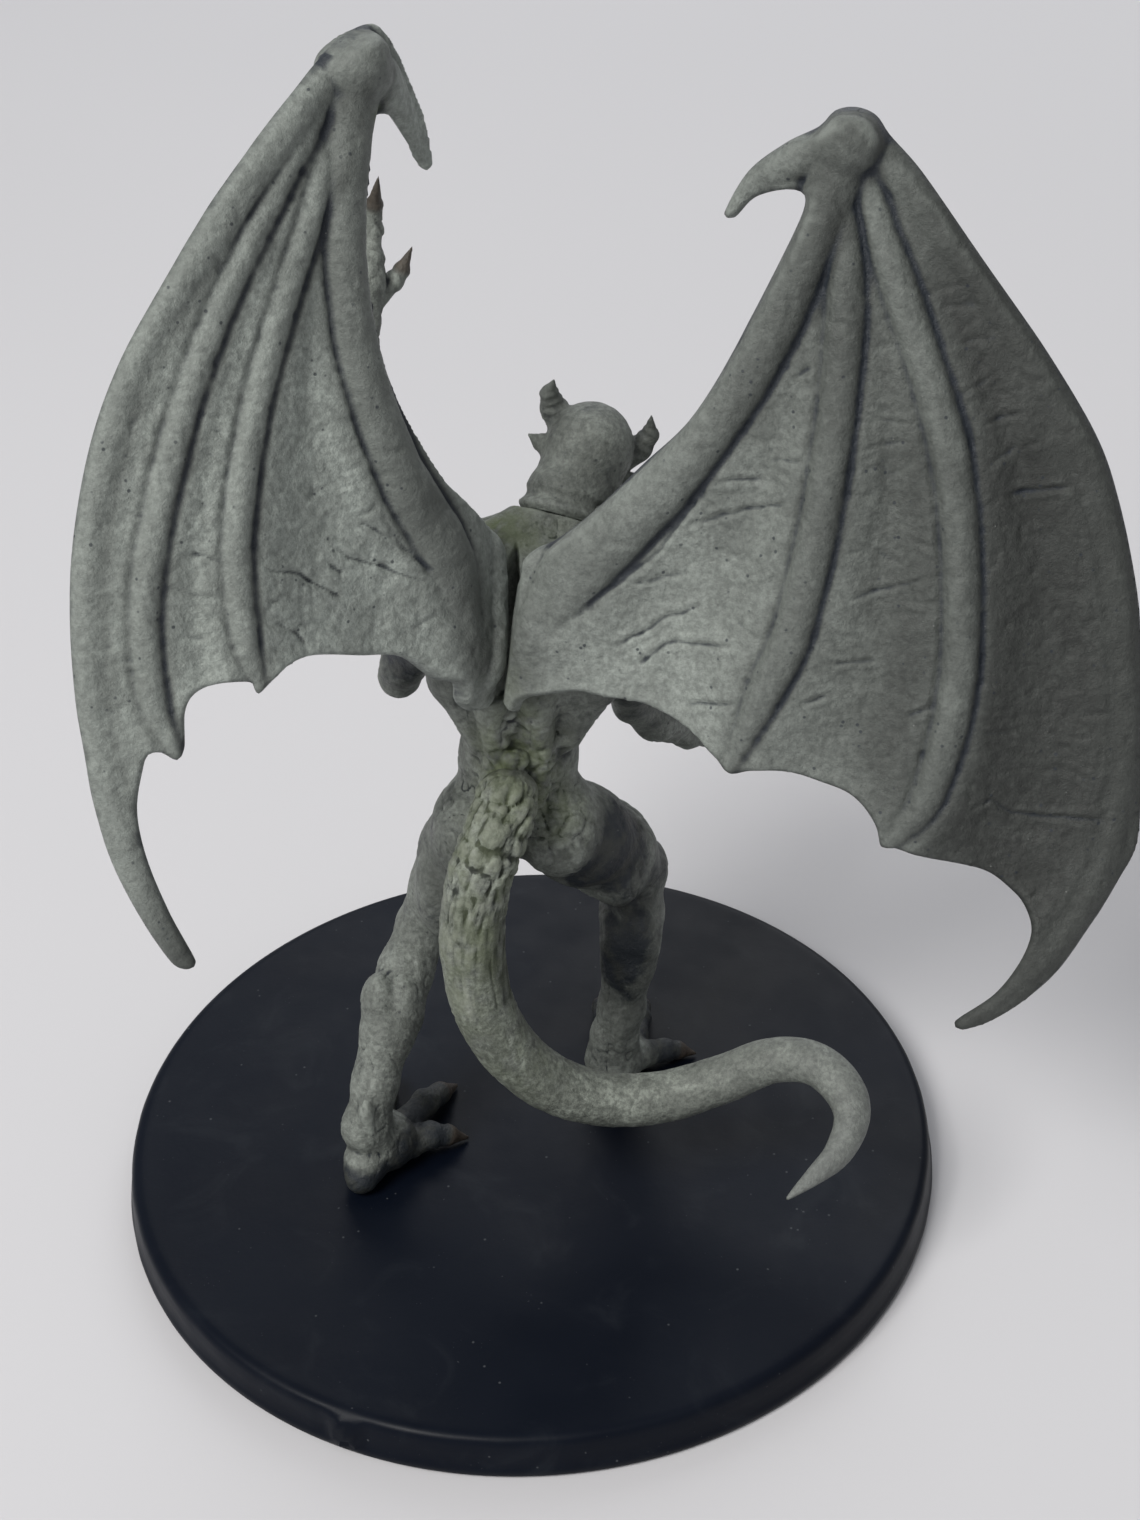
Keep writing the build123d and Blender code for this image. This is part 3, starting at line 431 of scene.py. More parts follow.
ARMS = {
    "upper_left_arm": ([[(2.0, -3.6, 41.2, 1.75), (4.6, -5.6, 41.6, 1.6), (6.6, -8.6, 41.4, 1.3), (7.5, -11.0, 41.5, 1.15)],
                        [(7.5, -11.0, 41.6, 1.15), (7.4, -12.6, 43.8, 1.35), (7.0, -14.2, 47.0, 0.95), (6.5, -15.3, 50.2, 0.75)]],
                       [[(6.5, -15.3, 49.9, 0.8), (6.3, -16.0, 52.0, 1.0), (6.1, -16.5, 53.0, 0.9)],
                        [(6.1, -16.2, 52.4, 0.62), (5.8, -17.1, 54.4, 0.5), (5.6, -16.9, 56.0, 0.44), (5.2, -15.9, 58.0, 0.07)],
                        [(6.5, -16.2, 52.4, 0.62), (6.9, -17.3, 54.6, 0.5), (6.9, -17.0, 56.3, 0.44), (6.5, -16.0, 58.4, 0.07)],
                        [(6.9, -15.8, 52.0, 0.62), (8.1, -16.7, 53.9, 0.5), (8.4, -16.4, 55.4, 0.44), (8.1, -15.4, 57.3, 0.07)],
                        [(6.0, -15.8, 50.8, 0.62), (4.9, -16.6, 51.6, 0.5), (4.4, -16.9, 52.1, 0.42), (3.7, -17.0, 53.4, 0.07)]]),
    "upper_right_arm": ([[(-5.4, -3.9, 40.8, 1.75), (-8.2, -4.9, 41.0, 1.6), (-11.0, -7.4, 40.6, 1.3), (-12.2, -9.6, 40.7, 1.15)],
                         [(-12.2, -9.6, 40.8, 1.15), (-13.6, -10.7, 42.6, 1.35), (-15.8, -12.0, 45.2, 0.95), (-17.2, -12.8, 47.6, 0.75)]],
                        [[(-17.1, -12.7, 47.3, 0.8), (-18.1, -13.4, 49.2, 1.0), (-18.6, -13.7, 50.0, 0.9)],
                         [(-18.3, -13.8, 49.8, 0.62), (-18.4, -14.7, 51.7, 0.5), (-18.3, -14.5, 53.2, 0.44), (-18.0, -13.4, 54.9, 0.07)],
                         [(-18.7, -13.7, 49.8, 0.62), (-19.6, -14.5, 51.5, 0.5), (-19.9, -14.2, 53.0, 0.44), (-19.8, -13.2, 54.7, 0.07)],
                         [(-18.9, -13.3, 49.4, 0.62), (-20.6, -13.7, 50.8, 0.5), (-21.2, -13.4, 52.1, 0.44), (-21.6, -12.4, 53.4, 0.07)],
                         [(-17.7, -13.4, 48.4, 0.62), (-16.9, -14.5, 49.1, 0.5), (-16.5, -15.0, 50.0, 0.42), (-16.2, -15.0, 51.3, 0.07)]]),
    "lower_left_arm": ([[(2.0, -3.6, 36.9, 1.55), (4.4, -4.8, 35.2, 1.4), (5.7, -6.2, 32.8, 1.2), (6.0, -7.4, 31.3, 1.15)],
                        [(6.0, -7.4, 31.3, 1.15), (5.7, -9.2, 31.2, 1.3), (5.0, -11.8, 31.8, 0.95), (4.4, -13.8, 32.6, 0.75)]],
                       [[(4.5, -13.5, 32.4, 0.8), (4.0, -15.0, 33.1, 0.98), (3.8, -15.8, 33.4, 0.88)],
                        [(3.5, -15.6, 34.0, 0.6), (2.9, -17.2, 34.9, 0.48), (2.4, -18.2, 34.7, 0.42), (1.8, -19.2, 33.7, 0.07)],
                        [(3.8, -15.8, 33.5, 0.6), (3.6, -17.7, 33.9, 0.48), (3.3, -18.8, 33.4, 0.42), (2.8, -19.6, 32.2, 0.07)],
                        [(4.2, -15.6, 32.8, 0.6), (4.3, -17.4, 32.6, 0.48), (4.1, -18.4, 32.0, 0.42), (3.6, -19.1, 30.9, 0.07)],
                        [(3.9, -14.4, 33.6, 0.6), (2.8, -15.1, 34.7, 0.46), (2.1, -15.8, 34.8, 0.38), (1.2, -16.6, 34.2, 0.07)]]),
    "lower_right_arm": ([[(-4.8, -3.9, 36.2, 1.55), (-6.4, -4.8, 33.6, 1.4), (-7.2, -5.6, 31.0, 1.2), (-7.4, -6.4, 29.2, 1.15)],
                         [(-7.4, -6.4, 29.2, 1.15), (-8.8, -7.6, 27.2, 1.3), (-10.8, -9.4, 24.8, 0.95), (-12.2, -10.8, 23.6, 0.75)]],
                        [[(-12.1, -10.7, 23.7, 0.8), (-13.3, -12.1, 23.8, 0.98), (-13.9, -12.9, 24.1, 0.88)],
                         [(-13.5, -12.9, 24.7, 0.6), (-13.8, -14.4, 25.9, 0.48), (-13.7, -15.4, 26.0, 0.42), (-13.2, -16.6, 25.3, 0.07)],
                         [(-14.0, -12.8, 24.3, 0.6), (-15.0, -14.2, 25.2, 0.48), (-15.3, -15.2, 25.0, 0.42), (-15.2, -16.4, 24.1, 0.07)],
                         [(-14.3, -12.6, 23.6, 0.6), (-15.5, -13.7, 24.0, 0.48), (-16.0, -14.5, 23.6, 0.42), (-16.0, -15.5, 22.5, 0.07)],
                         [(-12.9, -12.1, 24.6, 0.6), (-12.4, -13.2, 25.9, 0.46), (-11.9, -14.0, 26.2, 0.38), (-11.2, -15.0, 25.9, 0.07)]])}
CLAWS = {}
for side, toes in TOES.items():
    CLAWS[side] = []
    for t in toes:
        G[side] += chain(t, 0.22)
        G[side].append(ell(t[-3][:3], (t[-3][3] * 1.12,) * 3, 0.2))
        if t[-1][3] < 0.5:
            CLAWS[side].append((t[-2][:3], t[-1][:3], t[-2][3]))
for side, (lines, fingers) in ARMS.items():
    g = []
    for l in lines:
        g += chain(l, 0.55)
    sh, up, el0 = (np.array(lines[0][i][:3]) for i in (0, 1, 3))
    fo, wr = np.array(lines[1][1][:3]), np.array(lines[1][3][:3])
    d1, d2 = unit(el0 - up), unit(wr - fo)
    out = unit(np.cross(d1, d2) + 1e-6)
    big = 1.0 if side.startswith("upper") else 0.85
    fr1 = [out, unit(np.cross(d1, out)), d1]
    fr2 = [out, unit(np.cross(d2, out)), d2]
    g.append(ell(sh * 0.55 + up * 0.45 + np.array([0, 0, 0.35]), (1.75 * big, 1.75 * big, 1.9 * big), 0.5))
    g.append(ell((up + el0) / 2 + fr1[1] * 0.55, (1.0 * big, 0.9 * big, 2.0 * big), 0.3, frame3=fr1))
    g.append(ell((up + el0) / 2 - fr1[1] * 0.5, (1.05 * big, 0.9 * big, 2.0 * big), 0.3, frame3=fr1))
    g.append(ell(fo + out * 0.35 + d2 * 0.5, (0.9 * big, 0.9 * big, 2.0 * big), 0.3, frame3=fr2))
    g.append(ell(fo - out * 0.45 + d2 * 0.7, (0.8 * big, 0.8 * big, 1.9 * big), 0.3, frame3=fr2))
    g.append(ell(el0 - unit(d2 - d1) * 0.5, (0.7, 0.7, 0.7), 0.25))
    CLAWS[side] = []
    g += chain(fingers[0], 0.35)
    for fg in fingers[1:]:
        g += chain(fg, 0.14)
        g.append(ell(fg[1][:3], (fg[1][3] * 1.22,) * 3, 0.12))
        g.append(ell(fg[2][:3], (fg[2][3] * 1.15,) * 3, 0.12))
        CLAWS[side].append((fg[2][:3], fg[3][:3], fg[2][3]))
    G[side] = g

WINDOW = {
    "torso": ((-9.0, -9.0, 21.0), (6.5, 5.2, 46.0)),
    "left_leg": ((-1.5, -6.4, 1.0), (13.0, 7.2, 30.0)),
    "right_leg": ((-13.4, -11.6, 1.0), (1.5, 4.0, 29.6)),
    "upper_left_arm": ((-1.0, -18.6, 38.0), (10.2, 0.0, 59.4)),
    "upper_right_arm": ((-22.6, -16.4, 37.0), (-2.0, 0.0, 56.0)),
    "lower_left_arm": ((-0.6, -20.4, 29.0), (8.4, 0.0, 40.0)),
    "lower_right_arm": ((-17.4, -17.6, 21.6), (-1.6, 0.0, 40.0))}


def gauss(v, c, r):
    return np.exp(-(((v - np.asarray(c)) / np.asarray(r)) ** 2).sum(1))


def body_moss(v, n):
    m = 0.75 * gauss(v, (-0.2, 2.2, 29.8), (2.6, 2.2, 3.0)) + 0.8 * gauss(v, (-0.5, -3.4, 43.0), (2.6, 2.0, 1.6))
    m = m + 0.45 * gauss(v, (-0.5, 2.4, 34.0), (2.2, 1.5, 2.6)) + 0.35 * gauss(v, (-3.0, 1.5, 27.5), (2.0, 2.0, 2.0))
    return m * (0.55 + 0.9 * vnoise(v, 0.9, 77))


def knobbly(v, n):
    """Warty hide low on the back, sunk folds beside the spine."""
    f1, f2 = worley(v, 0.72, 17)
    pad = np.clip((f2 - f1) / 0.3, 0, 1) ** 0.6 * (1 - 0.3 * f1)
    zone = gauss(v, (-0.3, 2.2, 30.0), (3.6, 2.6, 4.2)) + 0.5 * gauss(v, (-3.0, 1.5, 26.5), (2.5, 2.5, 2.5))
    g1, g2 = worley(v * np.array([0.55, 1, 1.5]), 0.8, 27)
    fold = np.clip(1 - (g2 - g1) / 0.16, 0, 1)
    return zone * (0.26 * pad - 0.14 - 0.08 * fold)


def build_group(name):
    h = 0.115
    lo, hi = WINDOW[name]
    F = Field(lo, hi, h)
    own, oth = F.empty(), F.empty()
    F.carve(own, [p for p in G[name] if p["op"] > 0])
    for other, prims in G.items():
        if other != name:
            F.carve(oth, [p for p in prims if p["op"] > 0])
    total = smin(own, oth, 0.75)
    for prims in G.values():
        F.carve(total, [p for p in prims if p["op"] < 0])
    X, Y, Z = F.grids()
    r = (own - oth) * 0.5
    d = smax(total + 0.06 * np.clip(r / 0.15, 0, 1), r - 0.3, 0.06)
    if name == "torso":
        for side in ("right", "left"):
            ys, u = wing_y(side, X, Z)
            lim = np.where(u > -1.4, (Y - (ys - 1.0)) * 0.8, -3)
            d = np.where(Z > 35.6, smax(d, lim, 0.12), d)
            px, pz = WING_PEG[side]
            yseat = wing_y(side, np.float32(px), np.float32(pz))[0] - 0.9
            pad = np.maximum(np.sqrt((X - px) ** 2 + (Z - pz) ** 2) - 1.95, np.maximum(Y - (ys - 0.93), -3.5 - Y) * 0.8)
            d = np.minimum(d, pad)
            hole = np.maximum(np.sqrt((X - px) ** 2 + (Z - pz) ** 2) - 1.06, (yseat - 3.15) - Y)
            d = np.maximum(d, -hole)
        top = (X - NECK[0]) * NECK_DIR[0] + (Y - NECK[1]) * NECK_DIR[1] + (Z - NECK[2]) * NECK_DIR[2]
        d = np.where(Z > 40.5, smax(d, top, 0.1), d)
        rad = np.sqrt(np.maximum((X - NECK[0]) ** 2 + (Y - NECK[1]) ** 2 + (Z - NECK[2]) ** 2 - top ** 2, 0))
        d = np.maximum(d, -np.maximum(rad - 1.06, -1.95 - top))
        seat = np.maximum(np.sqrt((X - 0.2) ** 2 + (Z - 29.6) ** 2) - 1.55, np.maximum(Y - 2.38, -Y))
        d = smin(d, seat, 0.3)
        d = np.where((np.sqrt((X - 0.2) ** 2 + (Z - 29.6) ** 2) < 2.3) & (Y > 2.3), np.maximum(d, Y - 2.38), d)
        d = np.maximum(d, -np.maximum(np.sqrt((X - 0.2) ** 2 + (Z - 29.6) ** 2) - 0.86, 0.08 - Y))
    if name.endswith("leg"):
        px, py = (9.4, 3.0) if name == "left_leg" else (-6.0, -3.3)
        d = smax(d, BASE_TOP - Z, 0.05)
        peg = np.maximum(np.sqrt((X - px) ** 2 + (Y - py) ** 2) - 1.09, np.maximum(1.2 - Z, Z - 4.2))
        d = np.minimum(d, peg)
    v, f = F.mesh(d.astype(np.float32))
    ob = finish_sculpt(name, v, f, 1.0, CLAWS.get(name), body_moss, knobbly if name == "torso" else None)
    return ob


PIECES = {}
for part in G:
    PIECES[part] = build_group(part)

# ------------------------------------------------------------------ head
HC = np.array([-5.3, -7.9, 44.9])
hf = unit([-0.22, -0.95, -0.20])
hl = np.array([0.90, -0.15, 0.36])
hl = unit(hl - hf * (hl @ hf))
hu = np.cross(hf, hl)


def H(l, f, u):
    return HC + l * hl + f * hf + u * hu


head_axes = [hl, hf, hu]
head = [ell(H(0, 0, 0.1), (2.45, 2.75, 2.6), 0.8, frame3=head_axes), ell(H(0, 1.3, -1.5), (1.6, 1.7, 1.35), 0.9, frame3=head_axes),
        ell(H(0, 2.35, -2.35), (0.62, 0.5, 0.45), 0.5, frame3=head_axes)]
for s in (-1, 1):
    head += [ell(H(s * 1.35, 1.75, -0.5), (0.62, 0.6, 0.42), 0.5, frame3=head_axes),
             ell(H(s * 1.45, 1.0, -1.7), (0.5, 0.9, 0.6), 0.6, frame3=head_axes)]
head += [cone(H(-1.65, 1.9, 0.62), H(0, 2.62, 0.72), 0.3, 0.34, 0.4), cone(H(0, 2.62, 0.72), H(1.65, 1.9, 0.62), 0.34, 0.3, 0.4)]
for s in (-1, 1):
    head += [ell(H(s * 0.92, 2.75, 0.12), (0.55, 0.5, 0.33), 0.25, -1, frame3=head_axes)]
for s in (-1, 1):
    head += [ell(H(s * 0.9, 2.05, 0.1), (0.46, 0.5, 0.34), 0.1, frame3=head_axes),
             cone(H(s * 0.5, 2.52, 0.2), H(s * 1.3, 2.25, 0.2), 0.11, 0.11, 0.1)]
    head += [cone(H(s * 0.52, 2.62, 0.03), H(s * 1.28, 2.36, 0.03), 0.035, 0.035, 0.05, -1)]
head += [cone(H(0, 2.55, 0.45), H(0, 3.1, -0.6), 0.2, 0.32, 0.25)]
for s in (-1, 1):
    head += [ell(H(s * 0.3, 2.9, -0.72), (0.2, 0.24, 0.18), 0.12, frame3=head_axes)]
head += [cone(H(-0.7, 2.5, -1.36), H(0, 2.85, -1.3), 0.12, 0.18, 0.12), cone(H(0, 2.85, -1.3), H(0.7, 2.5, -1.36), 0.18, 0.12, 0.12),
         cone(H(-0.6, 2.5, -1.66), H(0, 2.82, -1.7), 0.12, 0.19, 0.14), cone(H(0, 2.82, -1.7), H(0.6, 2.5, -1.66), 0.19, 0.12, 0.14),
         cone(H(-0.78, 2.62, -1.5), H(0, 3.02, -1.49), 0.045, 0.05, 0.06, -1), cone(H(0, 3.02, -1.49), H(0.78, 2.62, -1.5), 0.05, 0.045, 0.06, -1)]
# neck
head += chain([(*(NECK - NECK_DIR * 0.3), 2.05), (*(NECK + NECK_DIR * 1.2), 1.95), (*H(0, -0.9, -1.3), 1.9)], 0.7)
head += chain([(*(NECK - hl * 0.9 + NECK_DIR * 1.2), 1.3), (*H(-1.0, -0.9, -1.3), 1.3)], 0.6)
head += [cone(NECK + hl * 1.1, H(1.5, -0.5, -1.0), 0.6, 0.7, 0.35), cone(NECK - hl * 1.1, H(-1.5, -0.5, -1.0), 0.6, 0.7, 0.35)]
# horns
HORNS = [[(-4.1, -8.8, 46.2, 0.95), (-3.55, -9.1, 47.0, 0.74), (-3.35, -9.0, 47.9, 0.5), (-3.6, -8.6, 48.9, 0.08)],
         [(-7.2, -8.5, 44.1, 0.88), (-8.15, -8.8, 44.4, 0.72), (-8.75, -8.8, 45.2, 0.5), (-8.85, -8.5, 46.5, 0.07)]]
for hn in HORNS:
    head += chain(hn, 0.2)
# ears: pointed, hollowed in front
EARS = [[(-3.4, -8.0, 45.0, 0.7), (-2.75, -8.2, 45.4, 0.46), (-2.1, -8.1, 46.0, 0.07)],
        [(-7.1, -7.9, 42.9, 0.6), (-7.6, -8.2, 42.8, 0.4), (-8.0, -8.1, 43.2, 0.06)]]
for er in EARS:
    head += chain(er, 0.25)
    head.append(cone(np.array(er[0][:3]) + hf * 0.62 + (np.array(er[1][:3]) - np.array(er[0][:3])) * 0.4, np.array(er[1][:3]) + hf * 0.42, 0.28, 0.16, 0.12, -1))
F = Field((-10.2, -13.0, 41.2), (-0.8, -3.2, 49.8), 0.07)
d = F.empty()
F.carve(d, [p for p in head if p["op"] > 0 and p["k"] > 0.14])
F.carve(d, [p for p in head if p["op"] < 0 and p["k"] > 0.1])
F.carve(d, [p for p in head if p["op"] > 0 and p["k"] <= 0.14])
F.carve(d, [p for p in head if p["op"] < 0 and p["k"] <= 0.1])
X, Y, Z = F.grids()
top = (X - NECK[0]) * NECK_DIR[0] + (Y - NECK[1]) * NECK_DIR[1] + (Z - NECK[2]) * NECK_DIR[2]
rad = np.sqrt(np.maximum((X - NECK[0]) ** 2 + (Y - NECK[1]) ** 2 + (Z - NECK[2]) ** 2 - top ** 2, 0))
groove = np.sqrt((rad - 2.35) ** 2 + (top - 1.0) ** 2) - 0.34
collar = np.sqrt((rad - 2.0) ** 2 + (top - 0.42) ** 2) - 0.3
d = smin(d, collar, 0.15)
d = smax(d, -np.maximum(groove, -d - 0.32), 0.2)
d = smax(d, 0.01 - top, 0.06)
d = np.minimum(d, np.maximum(rad - 0.99, np.maximum(-1.78 - top, top - 0.5)))
v, f = F.mesh(d.astype(np.float32))
horn_claws = [(h0[1][:3], h0[3][:3], 0.8) for h0 in HORNS]


def horn_rings(v, n):
    out = np.zeros(len(v))
    for hn in HORNS:
        a, b = np.array(hn[0][:3]), np.array(hn[3][:3])
        t = ((v - a) @ (b - a)) / ((b - a) @ (b - a))
        dd = np.linalg.norm(v - a - np.outer(np.clip(t, 0, 1), b - a), axis=1)
        out += np.where((dd < 1.1) & (t > 0.15), 0.03 * np.sin(t * 38) * np.clip((1 - t) * 2, 0, 1), 0)
    return out


PIECES["head"] = finish_sculpt("head", v, f, 0.45, None, lambda v, n: 0.25 * gauss(v, NECK, (2, 2, 1.2)), horn_rings)


# ------------------------------------------------------------------ wings
class Sheet:
    """A curved sheet that unrolls flat without stretching: s across, w up, both in mm."""

    def __init__(self, side):
        self.y0, self.b, self.c, self.k = SURF[side]
        self.sign = SIGN[side]
        self.q = math.sqrt(1 + self.b ** 2)
        self.us = np.linspace(-6, 42, 4000)
        g = np.sqrt(1 + (self.c - 2 * self.k * self.us) ** 2 / (1 + self.b ** 2))
        self.S = np.concatenate([[0], np.cumsum((g[1:] + g[:-1]) / 2 * np.diff(self.us))])
        self.S -= np.interp(0, self.us, self.S)

    def sw(self, x, z):
        u = (np.asarray(x, float) - SPINE_X) * self.sign
        z = np.asarray(z, float)
        s = np.interp(u, self.us, self.S)
        w = (z * self.q ** 2 - self.b * (self.y0 + 66 * self.b) - self.b * (self.c * u - self.k * u * u)) / self.q
        return np.stack([s, w], -1)

    def xyz(self, s, w, off):
        u = np.interp(s, self.S, self.us)
        z = (w * self.q + self.b * (self.y0 + 66 * self.b) + self.b * (self.c * u - self.k * u * u)) / self.q ** 2
        x = SPINE_X + self.sign * u
        y = self.y0 + self.b * (66 - z) + self.c * u - self.k * u * u
        n = np.stack([-self.sign * (self.c - 2 * self.k * u), np.ones_like(u), np.full_like(u, self.b)], -1)
        n /= np.linalg.norm(n, axis=-1, keepdims=True)
        return np.stack([x, y, z], -1) + n * off[..., None]


def catmull(p, step, closed=False, sharp=()):
    """A smooth curve through the points; indices in sharp keep a corner."""
    p = np.asarray(p, float)
    n = len(p)
    out = []
    for i in range(n if closed else n - 1):
        a, b = p[i], p[(i + 1) % n]
        pm = p[(i - 1) % n] if (closed or i > 0) else 2 * a - b
        pn = p[(i + 2) % n] if (closed or i + 2 < n) else 2 * b - a
        m0, m1 = (b - pm) / 2, (pn - a) / 2
        L = np.linalg.norm((b - a)[:2])
        for m, dd in ((m0, 0), (m1, 1)):
            ml = np.linalg.norm(m[:2])
            if ml > 1.2 * L:
                m *= 1.2 * L / ml
        if i in sharp:
            m0 = (b - a)
        if (i + 1) % n in sharp:
            m1 = (b - a)
        k = max(2, int(L / step))
        t = np.arange(k)[:, None] / k
        out.append((2 * t ** 3 - 3 * t ** 2 + 1) * a + (t ** 3 - 2 * t ** 2 + t) * m0 + (-2 * t ** 3 + 3 * t ** 2) * b + (t ** 3 - t ** 2) * m1)
    out = np.concatenate(out)
    return out if closed else np.concatenate([out, p[-1:]])


class Plane2:
    def __init__(self, lo, hi, h):
        self.h, self.lo = h, np.asarray(lo, float)
        self.n = np.ceil((np.asarray(hi) - self.lo) / h).astype(int) + 1
        self.s = self.lo[0] + h * np.arange(self.n[0])
        self.w = self.lo[1] + h * np.arange(self.n[1])

    def line(self, pts, reach, warp=None):
        """Distance to a polyline and the interpolated third value of its points."""
        dist = np.full(self.n, 99.0)
        val = np.zeros(self.n)
        for a, b in zip(pts[:-1], pts[1:]):
            i0 = max(0, int((min(a[0], b[0]) - reach - self.lo[0]) / self.h))
            i1 = min(self.n[0], int((max(a[0], b[0]) + reach - self.lo[0]) / self.h) + 2)
            j0 = max(0, int((min(a[1], b[1]) - reach - self.lo[1]) / self.h))
            j1 = min(self.n[1], int((max(a[1], b[1]) + reach - self.lo[1]) / self.h) + 2)
            if i0 >= i1 or j0 >= j1:
                continue
            x, y = self.s[i0:i1, None], self.w[None, j0:j1]
            if warp is not None:
                x = x + warp[0][i0:i1, j0:j1]
                y = y + warp[1][i0:i1, j0:j1]
            ba = b[:2] - a[:2]
            t = np.clip(((x - a[0]) * ba[0] + (y - a[1]) * ba[1]) / max(ba @ ba, 1e-9), 0, 1)
            dd = np.sqrt((x - a[0] - t * ba[0]) ** 2 + (y - a[1] - t * ba[1]) ** 2)
            cur = dist[i0:i1, j0:j1]
            m = dd < cur
            dist[i0:i1, j0:j1] = np.where(m, dd, cur)
            val[i0:i1, j0:j1] = np.where(m, a[2] + (b[2] - a[2]) * t, val[i0:i1, j0:j1])
        return dist, val

    def inside(self, poly):
        a, b = poly, np.roll(poly, -1, axis=0)
        res = np.zeros(self.n, bool)
        for j, y in enumerate(self.w):
            m = (a[:, 1] > y) != (b[:, 1] > y)
            if not m.any():
                continue
            xs = np.sort(a[m, 0] + (y - a[m, 1]) / (b[m, 1] - a[m, 1]) * (b[m, 0] - a[m, 0]))
            res[:, j] = np.searchsorted(xs, self.s) % 2 == 1
        return res


def nearest_on(poly, p):
    a, b = poly, np.roll(poly, -1, axis=0)
    best = np.full(len(p), 1e9)
    out = p.copy()
    for i in range(len(a)):
        ba = b[i] - a[i]
        t = np.clip(((p - a[i]) @ ba) / max(ba @ ba, 1e-12), 0, 1)
        q = a[i] + t[:, None] * ba
        d = ((p - q) ** 2).sum(1)
        m = d < best
        best[m] = d[m]
        out[m] = q[m]
    return out


